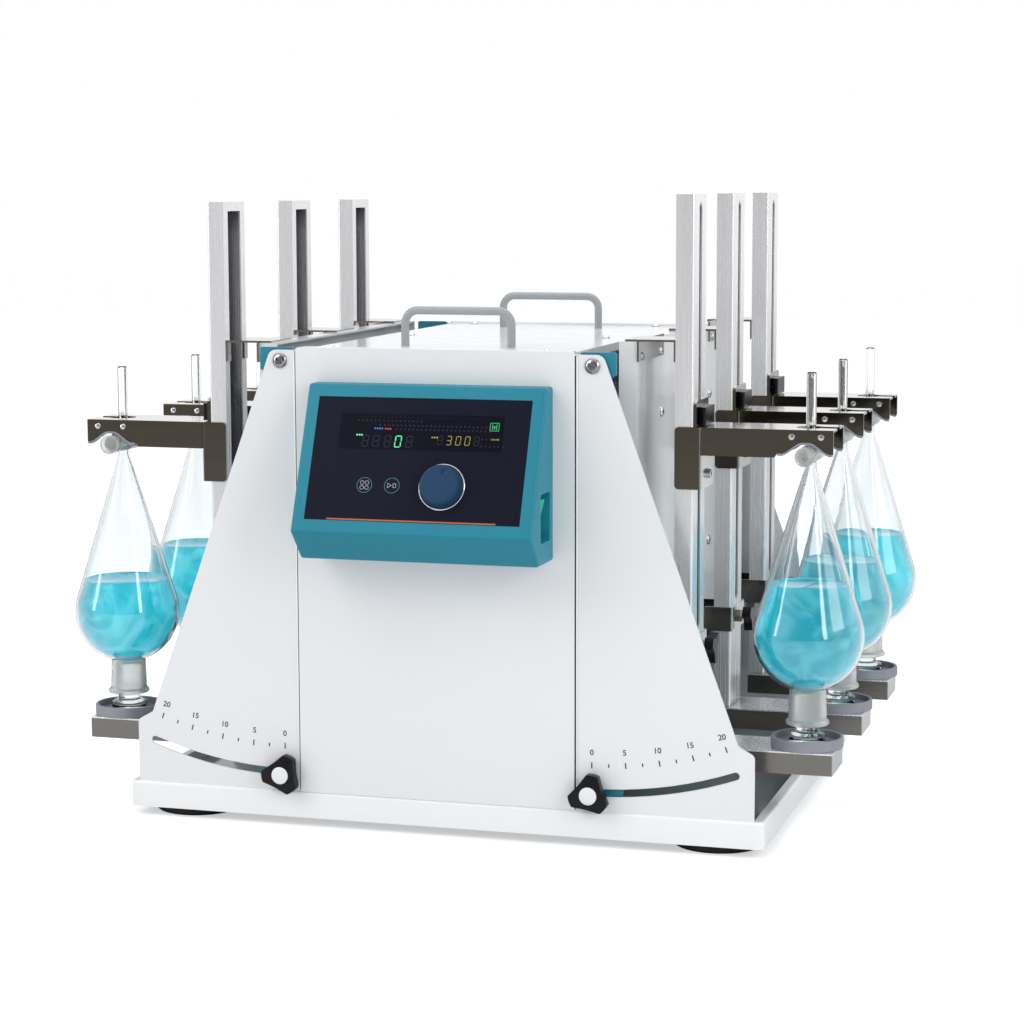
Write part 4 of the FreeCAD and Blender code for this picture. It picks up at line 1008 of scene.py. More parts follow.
class TickScale:
    """Tree that lays printed strokes along an arc, every second one long."""

    def __init__(self) -> None:
        """Build the node tree with its named inputs."""
        tree = bpy.data.node_groups.new("tick_scale", "GeometryNodeTree")
        face = tree.interface
        face.new_socket("Result", in_out="OUTPUT", socket_type="NodeSocketGeometry")
        kinds = {"Count": "NodeSocketInt", "Radius": "NodeSocketFloat", "Span": "NodeSocketFloat",
                 "Long": "NodeSocketFloat", "Short": "NodeSocketFloat", "Width": "NodeSocketFloat",
                 "Thickness": "NodeSocketFloat", "Finish": "NodeSocketMaterial"}
        self.sockets = {k: face.new_socket(k, in_out="INPUT", socket_type=v) for k, v in kinds.items()}
        self.tree = tree
        self._wire()

    def _math(self, operation: str, *values: object) -> Socket:
        """Add a math node.

        Args:
            operation: Name of the operation.
            values: Sockets or numbers for its inputs.

        Returns:
            The result socket.
        """
        node = self.tree.nodes.new("ShaderNodeMath")
        node.operation = operation
        for i, value in enumerate(values):
            if isinstance(value, (int, float)):
                node.inputs[i].default_value = value
            else:
                self.tree.links.new(value, node.inputs[i])
        return node.outputs[0]

    def _wire(self) -> None:
        """Join the nodes."""
        nodes, link = self.tree.nodes, self.tree.links.new
        enter, leave = nodes.new("NodeGroupInput"), nodes.new("NodeGroupOutput")
        line = nodes.new("GeometryNodeMeshLine")
        index = nodes.new("GeometryNodeInputIndex").outputs["Index"]
        link(enter.outputs["Count"], line.inputs["Count"])
        steps = self._math("SUBTRACT", enter.outputs["Count"], 1.0)
        angle = self._math("MULTIPLY", self._math("DIVIDE", index, steps), enter.outputs["Span"])
        odd = self._math("MODULO", index, 2.0)
        even = self._math("SUBTRACT", 1.0, odd)
        length = self._math("ADD", self._math("MULTIPLY", odd, enter.outputs["Short"]),
                            self._math("MULTIPLY", even, enter.outputs["Long"]))
        spot = nodes.new("ShaderNodeCombineXYZ")
        link(self._math("MULTIPLY", self._math("SINE", angle), enter.outputs["Radius"]), spot.inputs["X"])
        drop = self._math("MULTIPLY", self._math("COSINE", angle), enter.outputs["Radius"])
        link(self._math("MULTIPLY", drop, -1.0), spot.inputs["Z"])
        move = nodes.new("GeometryNodeSetPosition")
        link(line.outputs["Mesh"], move.inputs["Geometry"])
        link(spot.outputs["Vector"], move.inputs["Position"])
        turn = nodes.new("ShaderNodeCombineXYZ")
        link(self._math("MULTIPLY", angle, -1.0), turn.inputs["Y"])
        size = nodes.new("ShaderNodeCombineXYZ")
        link(enter.outputs["Width"], size.inputs["X"])
        link(enter.outputs["Thickness"], size.inputs["Y"])
        link(length, size.inputs["Z"])
        stroke = nodes.new("GeometryNodeMeshCube")
        put = nodes.new("GeometryNodeInstanceOnPoints")
        link(move.outputs["Geometry"], put.inputs["Points"])
        link(stroke.outputs["Mesh"], put.inputs["Instance"])
        link(turn.outputs["Vector"], put.inputs["Rotation"])
        link(size.outputs["Vector"], put.inputs["Scale"])
        real = nodes.new("GeometryNodeRealizeInstances")
        coat = nodes.new("GeometryNodeSetMaterial")
        link(put.outputs["Instances"], real.inputs["Geometry"])
        link(real.outputs["Geometry"], coat.inputs["Geometry"])
        link(enter.outputs["Finish"], coat.inputs["Material"])
        link(coat.outputs["Geometry"], leave.inputs["Result"])

    def lay(self, name: str, **values: object) -> bpy.types.Object:
        """Lay one scale about the origin, from straight down towards +X.

        Args:
            name: Name of the finished piece.
            values: The tree's inputs by name.

        Returns:
            A plain mesh object.
        """
        carrier = bpy.data.objects.new(name + "_carrier", bpy.data.meshes.new(name + "_seed"))
        bpy.context.scene.collection.objects.link(carrier)
        modifier = carrier.modifiers.new("ticks", "NODES")
        modifier.node_group = self.tree
        for key, value in values.items():
            modifier[self.sockets[key].identifier] = value
        return harden(carrier, name)


def lettering(text: str, size: float, place: Matrix, thickness: float) -> tuple[list[Vector], list[Face]]:
    """Mesh of a short number, centred on a place, in millimetres.

    Args:
        text: The characters.
        size: Letter size.
        place: Where its X and Y axes lie.
        thickness: How far it stands out.

    Returns:
        Points and faces.
    """
    curve = bpy.data.curves.new("number", "FONT")
    curve.body = text
    curve.size = size
    curve.align_x = "CENTER"
    curve.align_y = "CENTER"
    curve.extrude = thickness / 2
    curve.resolution_u = 4
    curve.offset = STROKE_GROWTH * size
    holder = bpy.data.objects.new("number", curve)
    bpy.context.scene.collection.objects.link(holder)
    bpy.context.view_layer.update()
    mesh = bpy.data.meshes.new_from_object(holder.evaluated_get(bpy.context.evaluated_depsgraph_get()))
    points = [place @ v.co for v in mesh.vertices]
    faces = [tuple(p.vertices) for p in mesh.polygons]
    bpy.data.objects.remove(holder)
    bpy.data.meshes.remove(mesh)
    return points, faces


# Places read from the frame


@dataclass(frozen=True)
class Layout:
    """Reference places of the machine, in millimetres."""

    front: float
    pivot: Pair
    lock_z: float
    tray_top: dict[Side, float]
    station_y: dict[Station, float]

    @staticmethod
    def read() -> "Layout":
        """Read the places from the frame's boxes.

        Returns:
            The layout.
        """
        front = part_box("front_wing_panel")[0].y / MM
        bolt_low, bolt_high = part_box("pivot_bolts")
        tops = {side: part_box(side.value + "_cups")[0].z / MM for side in Side}
        rows = {}
        for station in Station:
            low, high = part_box(station.value + "_right_arm")
            rows[station] = (low.y + high.y) / 2 / MM
        pivot_z = (bolt_low.z + bolt_high.z) / 2 / MM
        return Layout(front, (PIVOT_X, pivot_z), pivot_z - SLOT_RADIUS, tops, rows)


# Sub-assemblies


@dataclass
class ScrewKit:
    """Prototypes of the screws and rivets, modelled about the origin with the head towards +Z."""

    wardrobe: Wardrobe
    repeater: Repeater
    dome: bpy.types.Object = field(init=False)
    socket: bpy.types.Object = field(init=False)
    rivet: bpy.types.Object = field(init=False)
    bolt: bpy.types.Object = field(init=False)

    def __post_init__(self) -> None:
        """Model the prototypes and hide them."""
        steel = self.wardrobe.pick("bright_steel")
        self.dome = self._cross_screw(steel)
        self.socket = self._socket_screw(steel)
        sketch = Sketch()
        sketch.lathe([(0, -0.3), (3.0, -0.3), (3.0, 0.2), (2.6, 0.75), (1.7, 1.05), (0, 1.2)],
                     Matrix.Identity(4), 24)
        self.rivet = sketch.finish("rivet_prototype", steel)
        self.bolt = self._pivot_bolt(steel)
        for item in (self.dome, self.socket, self.rivet, self.bolt):
            item.hide_render = True
            item.hide_viewport = True

    def _dome(self, sketch: Sketch, radius: float, rise: float, foot: float) -> None:
        """Add a dome with a cross recess: a low cup with a block between each two arms.

        Args:
            sketch: Where it goes.
            radius: Radius of the head.
            rise: Height of the dome.
            foot: Height of its lower face.
        """
        shares = (1.0, 0.97, 0.9, 0.78, 0.62, 0.5)
        crown = [(radius * r, rise * math.sqrt(1 - (r / 1.02) ** 2)) for r in shares]
        pit = 0.3 * rise
        profile = [(0, foot), (radius, foot)] + crown + [(0.46 * radius, pit), (0, pit)]
        sketch.lathe(profile, Matrix.Identity(4), 40)
        near, far, high = 0.09 * radius, 0.5 * radius, 0.86 * rise
        for turn in range(4):
            spin = Matrix.Rotation(math.radians(90 * turn), 4, "Z")
            corner = [(near, near), (far, near)] + arc(far, 12.0, 78.0, 4)[1:-1] + [(near, far)]
            sketch.prism(corner, spin, pit - 0.1, high)

    def _cross_screw(self, steel: list[bpy.types.Material]) -> bpy.types.Object:
        """Model a domed screw with a cross recess.

        Args:
            steel: Its material.

        Returns:
            The prototype.
        """
        sketch = Sketch()
        self._dome(sketch, 4.5, 2.3, -0.3)
        return sketch.finish("cross_screw_prototype", steel)

    def _pivot_bolt(self, steel: list[bpy.types.Material]) -> bpy.types.Object:
        """Model a large domed bolt with a cross recess and a plain shank.

        Args:
            steel: Its material.

        Returns:
            The prototype.
        """
        sketch = Sketch()
        self._dome(sketch, 7.4, 3.9, 0.0)
        sketch.lathe([(0, 0.2), (5.0, 0.2), (5.0, -12.0), (0, -12.0)], Matrix.Identity(4), 40)
        return sketch.finish("pivot_bolt_prototype", steel)

    def _socket_screw(self, steel: list[bpy.types.Material]) -> bpy.types.Object:
        """Model a cap screw with a hexagon recess.

        Args:
            steel: Its material.

        Returns:
            The prototype.
        """
        sketch = Sketch()
        sketch.lathe([(0, -0.3), (5.2, -0.3), (5.2, 0.6), (4.1, 0.7), (4.1, 3.2), (3.7, 3.6), (2.3, 3.6),
                      (2.3, 1.6), (0, 1.6)], Matrix.Identity(4), 24)
        return sketch.finish("socket_screw_prototype", steel)

    def fit(self, name: str, body: str, kind: bpy.types.Object, places: Sequence[Point],
            out: Sequence[float], size: float = 1.0) -> None:
        """Set screws of one kind on one body.

        Args:
            name: Name of the piece.
            body: Body that it moves with.
            kind: Prototype.
            places: Points in millimetres.
            out: Direction of the heads.
            size: Scale of the prototype.
        """
        piece = self.repeater.spread(name, places, kind, out, size, self.wardrobe["bright_steel"])
        settle(piece, body, "bright_steel")


@dataclass
class Casing:
    """Fixed body: tray, panels, covers, handles and feet."""

    wardrobe: Wardrobe
    screws: ScrewKit
    layout: Layout
    cover_half: float = 137.0
    seam: float = 1.3
    strip_rise: float = 0.3
    fold: float = 1.9
    fold_rise: float = 0.5
    end_gap: float = 1.0

    def build(self) -> None:
        """Dress the fixed nodes and add seams and screws."""
        finishes = {
            "base_tray": "tray_coat", "rubber_feet": "black_rubber", "front_wing_panel": "white_coat",
            "rear_wing_panel": "white_coat", "front_cover": "white_coat", "rear_cover": "white_coat",
            "top_cover": "top_coat", "carry_handles": "handle_coat", "cover_screws": "bright_steel",
            "pivot_bolts": "bolt_steel", "chassis_frame": "teal_coat", "power_inlet": "black_inlet",
            "drive_motor": "motor_coat", "crank_disc": "alloy", "rocker_beam": "alloy",
            "connecting_rod": "alloy",
        }
        for node, finish in finishes.items():
            self.wardrobe.dress(node, finish)
        self._seams()
        self._pivots()

    def _seams(self) -> None:
        """Painted shadow strips in the gaps along the covers' edges, each between two folded sheet edges in
        a lighter coat as painted highlight.
        """
        low, high = (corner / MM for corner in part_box("front_wing_panel"))
        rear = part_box("rear_wing_panel")[1].y / MM
        ends = (low.z + self.end_gap, high.z - self.end_gap)
        for name, y, step in (("front_seams", low.y, -1.0), ("rear_seams", rear, 1.0)):
            sketch = Sketch()
            for side in Side:
                edge = side.sign * self.cover_half
                outer = edge + side.sign * self.seam
                # Painted shadow strip in the gap
                sketch.mark = 0
                self._strip(sketch, edge, outer, y, self.strip_rise * step, *ends)
                # Folded edges in a lighter coat, a painted highlight
                sketch.mark = 1
                self._strip(sketch, edge - side.sign * self.fold, edge, y, self.fold_rise * step, *ends)
                self._strip(sketch, outer, outer + side.sign * self.fold, y, self.fold_rise * step, *ends)
            piece = sketch.finish(name, self.wardrobe.pick("gap_shadow", "edge_coat"), bevel=0.12)
            settle(piece, "machine", "black_rubber")

    def _strip(self, sketch: Sketch, x0: float, x1: float, y: float, rise: float, low: float,
               high: float) -> None:
        """Add one upright strip that stands on a face.

        Args:
            sketch: Where it goes.
            x0: One side.
            x1: Other side.
            y: The face.
            rise: How far it stands out, with its sign.
            low: Lower end.
            high: Upper end.
        """
        sketch.box((min(x0, x1), min(y, y + rise), low), (max(x0, x1), max(y, y + rise), high))

    def _pivots(self) -> None:
        """Domed pivot bolts of the tilt frames, front and rear."""
        px, pz = self.layout.pivot
        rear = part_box("rear_wing_panel")[1].y / MM
        front = [(side.sign * px, self.layout.front, pz) for side in Side]
        back = [(side.sign * px, rear, pz) for side in Side]
        steel = self.wardrobe["bolt_steel"]
        rows = (("front_pivot_domes", front, -1, ["pivot_bolts"]), ("rear_pivot_domes", back, 1, []))
        for name, places, out, nodes in rows:
            piece = self.screws.repeater.spread(name, places, self.screws.bolt, (0, out, 0), 1.0, steel)
            settle(piece, "machine", "bright_steel", *nodes)


@dataclass
class TiltScale:
    """Printed tilt scale on both wings: strokes on an arc and numbers."""

    wardrobe: Wardrobe
    ticks: TickScale
    layout: Layout
    radius: float = 373.9
    number_radius: float = 361.8
    long: float = 5.6
    short: float = 3.4
    width: float = 1.15
    film: float = 0.12
    reach: int = 20
    step: int = 5
    letter: float = 7.6
    lean: float = 0.55

    def build(self) -> None:
        """Print the strokes and the numbers of both sides."""
        for side in Side:
            self._strokes(side)
            self._numbers(side)

    def _strokes(self, side: Side) -> None:
        """Print one side's strokes.

        Args:
            side: The side.
        """
        piece = self.ticks.lay(side.value + "_scale_strokes", Count=2 * self.reach // self.step + 1,
                               Radius=self.radius * MM, Span=math.radians(self.reach), Long=self.long * MM,
                               Short=self.short * MM, Width=self.width * MM, Thickness=self.film * MM,
                               Finish=self.wardrobe["black_ink"])
        px, pz = self.layout.pivot
        shift = Vector((side.sign * px, self.layout.front - self.film / 2, pz)) * MM
        flip = Matrix.Scale(side.sign, 4, (1, 0, 0))
        piece.data.transform(Matrix.Translation(shift) @ flip)
        if side is Side.LEFT:
            piece.data.flip_normals()
        settle(piece, "machine", "black_plastic")

    def _numbers(self, side: Side) -> None:
        """Print one side's numbers.

        Args:
            side: The side.
        """
        sketch = Sketch()
        for degrees in range(0, self.reach + 1, self.step):
            a = math.radians(degrees)
            x = side.sign * (self.layout.pivot[0] + self.number_radius * math.sin(a))
            z = self.layout.pivot[1] - self.number_radius * math.cos(a)
            lean = Matrix.Rotation(side.sign * a * self.lean, 4, "Z")
            place = facing((x, self.layout.front - self.film / 2, z), (0, -1, 0)) @ lean
            sketch.add(*lettering(str(degrees), self.letter, place, self.film))
        piece = sketch.finish(side.value + "_scale_numbers", self.wardrobe.pick("black_ink"))
        settle(piece, "machine", "black_plastic")


class Light(IntEnum):
    """Colours of the display's marks, in the order of its materials."""

    GREEN = 0
    YELLOW = 1
    UNLIT = 2
    RED = 3
    BLUE = 4
    ICON = 5

    @property
    def finish(self) -> str:
        """Name of the colour's finish."""
        return "dim_ink" if self is Light.UNLIT else self.name.lower() + "_light"


@dataclass
class ControlPanel:
    """Sloping control housing with its glass, display, keys, dial and power switch."""

    wardrobe: Wardrobe
    layout: Layout
    tilt: float = 22.35
    top_reach: float = 20.5
    top_z: float = 433.0
    film: float = 0.15
    dial_rise: float = 9.6
    dimple: float = 4.0
    dimple_sink: float = 1.1
    dimple_out: float = 11.6
    dimple_right: float = 3.3
    crown_sink: float = 0.25
    dial_x: float = 26.4
    dial_down: float = 97.3
    window: Pair = (79.3, 17.2)
    window_down: float = 45.4
    digit: float = 10.6
    digit_down: float = 54.8
    small_digit: float = 8.2
    small_down: float = 52.6
    digit_width: float = 0.52
    digit_pitch: float = 1.08
    bar_reach: float = 0.42
    bar_half: float = 0.042
    slant: float = 0.09
    mark_pitch: float = 4.1
    icon: Pair = (70.4, 38.6)
    start_key: Pair = (-48.8, 97.4)
    stop_key: Pair = (-22.0, 97.1)
    key_radius: float = 7.4
    key_line: float = 0.42
    line_down: float = 130.6

    def face(self, x: float, down: float, out: float = 0.0) -> Matrix:
        """Place on the sloping face, X to the right, Y up the slope and Z out.

        Args:
            x: Distance to the right of the middle.
            down: Distance down the slope from its upper edge.
            out: Distance out from the face.

        Returns:
            The place.
        """
        a = math.radians(self.tilt)
        y = self.layout.front - self.top_reach - down * math.sin(a) - out * math.cos(a)
        z = self.top_z - down * math.cos(a) + out * math.sin(a)
        return facing((x, y, z), (0, -math.cos(a), math.sin(a)))

    def build(self) -> None:
        """Dress the housing and add the parts on its face."""
        self.wardrobe.dress("control_housing", "teal_case")
        self.wardrobe.dress("display_glass", "panel_glass")
        self._window()
        self._digits()
        self._keys()
        self._line()
        self._dial()
        self._switch()

    def _window(self) -> None:
        """Darker window behind which the display lies."""
        sketch = Sketch()
        x, y = self.window
        sketch.box((-x, -y, 0), (x, y, self.film), self.face(0, self.window_down))
        piece = sketch.finish("display_window", self.wardrobe.pick("display_window"))
        settle(piece, "machine", "dark_glass")

    def _digits(self) -> None:
        """Lit seven-segment numbers, small marks and unlit segments."""
        sketch = Sketch()
        self._number(sketch, Light.GREEN, "0", -21.1, self.digit_down, self.digit)
        self._number(sketch, Light.YELLOW, "300", 37.0, self.small_down, self.small_digit)
        for x in (-53.1, -42.8, -31.4, -10.4):
            self._number(sketch, Light.UNLIT, "8", x, self.digit_down, self.digit)
        for x in (19.5, 54.6):
            self._number(sketch, Light.UNLIT, "8", x, self.small_down, self.small_digit)
        self._icon(sketch)
        lit = ((-59.5, 49.2, 3, Light.GREEN), (-41.5, 42.6, 4, Light.BLUE), (-32.2, 42.8, 3, Light.RED),
               (14.0, 50.0, 3, Light.YELLOW), (71.6, 50.6, 4, Light.YELLOW))
        for x, down, count, colour in lit:
            self._dots(sketch, colour, x, down, count, 1.5)
        unlit = ((-62.0, 31.4, 32, 0.7), (-62.0, 35.0, 16, 1.4), (-40.0, 39.2, 27, 1.5),
                 (-24.0, 43.0, 23, 1.5), (59.6, 50.6, 4, 1.4), (59.6, 57.4, 6, 1.4))
        pitch = self.mark_pitch
        for start, down, count, size in unlit:
            middle = start + (count - 1) * (pitch / 2)
            self._dots(sketch, Light.UNLIT, middle, down, count, size, pitch)
        finishes = self.wardrobe.pick(*(light.finish for light in Light))
        piece = sketch.finish("display_segments", finishes)
        settle(piece, "machine", "green_plastic")

    def _number(self, sketch: Sketch, mark: int, text: str, x: float, down: float,
                height: float) -> None:
        """Add one seven-segment number.

        Args:
            sketch: Where its bars go.
            mark: Material mark.
            text: Digits.
            x: Middle of the number.
            down: Middle of the number, down the slope.
            height: Height of a digit.
        """
        lit = {"0": "abcdef", "3": "abcdg", "8": "abcdefg"}
        wide = height * self.digit_width
        pitch = height * self.digit_pitch
        half = height / 2
        bars = {"a": (0, half, True), "g": (0, 0, True), "d": (0, -half, True),
                "b": (wide / 2, half / 2, False), "c": (wide / 2, -half / 2, False),
                "e": (-wide / 2, -half / 2, False), "f": (-wide / 2, half / 2, False)}
        sketch.mark = mark
        for i, digit in enumerate(text):
            place = self.face(x + (i - (len(text) - 1) / 2) * pitch, down)
            for name in lit[digit]:
                bx, by, flat = bars[name]
                long = (wide if flat else half) * self.bar_reach
                thin = height * self.bar_half
                w, h = (long, thin) if flat else (thin, long)
                bx += self.slant * by
                sketch.box((bx - w, by - h, self.film), (bx + w, by + h, 2 * self.film), place)

    def _dots(self, sketch: Sketch, mark: int, x: float, down: float, count: int, size: float,
              pitch: float = 2.3) -> None:
        """Add a row of small square marks.

        Args:
            sketch: Where they go.
            mark: Material mark.
            x: Middle of the row.
            down: Middle of the row, down the slope.
            count: Number of marks.
            size: Size of a mark.
            pitch: Distance from mark to mark.
        """
        sketch.mark = mark
        for i in range(count):
            place = self.face(x + (i - (count - 1) / 2) * pitch, down)
            sketch.box((-size / 2, -size / 2, self.film), (size / 2, size / 2, 1.7 * self.film), place)

    def _icon(self, sketch: Sketch) -> None:
        """Small green pictogram at the right of the display.

        Args:
            sketch: Where its bars go.
        """
        sketch.mark = Light.ICON
        place = self.face(*self.icon)
        frame_bars = ((-4.5, -3.9, -4, 4), (3.9, 4.5, -4, 4), (-4.5, 4.5, 3.4, 4), (-4.5, 4.5, -4, -3.4))
        hand_bars = ((-2.4, -1.6, -2.6, 2.4), (-0.4, 0.4, -2.6, 1.2), (1.6, 2.4, -2.6, 2.4),
                     (-2.4, 2.4, -0.4, 0.4))
        for x0, x1, y0, y1 in frame_bars + hand_bars:
            sketch.box((x0, y0, self.film), (x1, y1, 2 * self.film), place)

    def _ring(self, sketch: Sketch, place: Matrix, radius: float, width: float, steps: int = 40) -> None:
        """Add a printed ring.

        Args:
            sketch: Where it goes.
            place: Its place.
            radius: Outer radius.
            width: Width of the line.
            steps: Corners of the ring.
        """
        inner = radius - width
        sketch.lathe([(inner, 0.0), (radius, 0.0), (radius, self.film), (inner, self.film)], place, steps)

    def _keys(self) -> None:
        """Two touch keys: rings with a pictogram each."""
        sketch = Sketch()
        left = self.face(*self.start_key)
        right = self.face(*self.stop_key)
        sketch.mark = 1
        for place in (left, right):
            self._ring(sketch, place, self.key_radius, self.key_line)
        sketch.mark = 0
        for x in (-2.35, 2.35):
            for y in (-2.35, 2.35):
                self._ring(sketch, left @ Matrix.Translation((x, y, 0)), 2.0, 0.45)
        self._ring(sketch, right @ Matrix.Translation((-2.9, 0, 0)), 2.9, 0.85, 3)
        stop_bars = ((0.8, 4.0, 1.6, 2.1), (0.8, 4.0, -2.1, -1.6), (0.8, 1.3, -2.1, 2.1),
                     (3.5, 4.0, -2.1, 2.1))
        for x0, x1, y0, y1 in stop_bars:
            sketch.box((x0, y0, 0), (x1, y1, self.film), right)
        piece = sketch.finish("touch_keys", self.wardrobe.pick("white_ink", "teal_ink"))
        settle(piece, "machine", "dark_glass")

    def _line(self) -> None:
        """Orange printed line under the glass's lower edge, with a faint painted glow."""
        sketch = Sketch()
        sketch.box((-82, -0.7, 0), (81.2, 0.7, 0.3), self.face(0, self.line_down, -0.05))
        settle(sketch.finish("orange_line", self.wardrobe.pick("orange_line")), "machine", "teal_plastic")

    def _dial(self) -> None:
        """Chrome ring round the dial, and the dial's skirt, crown and finger dimple."""
        place = self.face(self.dial_x, self.dial_down)
        ring = Sketch()
        ring.lathe([(20.8, 0.0), (22.3, 0.0), (22.3, 1.2), (21.9, 1.7), (21.2, 1.7), (20.8, 1.2)],
                   place, 72)
        settle(ring.finish("dial_ring", self.wardrobe.pick("dial_ring")), "machine", "bright_steel")
        rise = self.dial_rise
        crown_top = rise - self.crown_sink
        body = Sketch()
        body.lathe([(0, 0.3), (20.3, 0.3), (20.3, 1.6), (19.8, 1.9), (19.5, rise - 1.6), (18.9, rise - 0.5),
                    (17.9, rise), (16.6, rise), (16.3, crown_top), (0, crown_top)], place, 96)
        crown = body.finish("dial_blank", self.wardrobe.pick("blue_dial"), 40.0)
        ball = Sketch()
        reach = (self.dimple ** 2 + self.dimple_sink ** 2) / (2 * self.dimple_sink)
        steps = 48
        angles = [math.pi * i / steps for i in range(1, steps)]
        profile = [(reach * math.sin(a), reach * (1 - math.cos(a))) for a in angles]
        foot = crown_top - self.dimple_sink
        spot = place @ Matrix.Translation((self.dimple_right, self.dimple_out, foot))
        ball.lathe([(0.0, 0.0)] + profile + [(0.0, 2 * reach)], spot, steps)
        cutter = ball.finish("dimple_ball", self.wardrobe.pick("blue_dial"), 40.0)
        cut = crown.modifiers.new("dimple", "BOOLEAN")
        cut.operation = "DIFFERENCE"
        cut.object = cutter
        dial = harden(crown, "dial", 30.0)
        bpy.data.objects.remove(cutter)
        settle(dial, "encoder", "blue_plastic", "encoder_knob")

    def _switch(self) -> None:
        """Power rocker."""
        self.wardrobe.dress("power_rocker", "green_switch")


@dataclass
class LockKnob:
    """Three-lobed lock knob with a white cap."""

    wardrobe: Wardrobe
    layout: Layout
    side: Side
    radius: float = 19.8
    thickness: float = 10.0
    stand: float = 5.0
    cap: float = 8.8
    right_first: float = 79.5
    left_first: float = 66.0
    rounding: float = 0.9

    def build(self) -> None:
        """Replace the lock knob's node by a rounder one."""
        word = self.side.value
        x = self.side.sign * self.layout.pivot[0]
        place = facing((x, self.layout.front - self.stand, self.layout.lock_z), (0, -1, 0))
        first = self.right_first if self.side is Side.RIGHT else self.left_first
        sketch = Sketch()
        outline = lobes(self.radius, first)
        sketch.prism(outline, place, 0.0, self.thickness)
        sketch.mark = 1
        top, cap = self.thickness, self.cap
        sketch.lathe([(0, top - 0.5), (cap, top - 0.5), (cap, top + 0.5), (cap - 0.7, top + 1.0),
                      (cap / 2, top + 1.5), (0, top + 1.7)], place, 48)
        sketch.mark = 2
        sketch.lathe([(0, 0.2), (7.0, 0.2), (7.0, -2.6), (8.5, -2.7), (8.5, -4.7), (3.5, -4.7), (3.5, -21),
                      (0, -21)], place, 28)
        finishes = self.wardrobe.pick("black_knob", "white_cap", "bright_steel")
        piece = sketch.finish(word + "_lock_knob_piece", finishes, 28.0, self.rounding)
        settle(piece, word + "_lock", "black_plastic", word + "_lock_knob")


def lobes(radius: float, first: float) -> list[Pair]:
    """Outline of a three-lobed knob with blunt tips and hollow sides.

    Args:
        radius: Reach of a lobe.
        first: Direction of the first lobe in degrees.

    Returns:
        An anticlockwise outline.
    """
    points: list[Pair] = []
    steps = 10
    half = 16.5
    hollow = 0.05
    gap = 60.0 - half
    for lobe in range(3):
        middle = first + 120 * lobe
        points += arc(radius, middle - half, middle + half, 6)
        for i in range(1, steps):
            swing = gap * (2 * i / steps - 1)
            straight = radius * math.cos(math.radians(gap)) / math.cos(math.radians(swing))
            reach = straight * (1.0 - hollow * math.sin(math.pi * i / steps))
            angle = math.radians(middle + 60.0 + swing)
            points.append((reach * math.cos(angle), reach * math.sin(angle)))
    return points


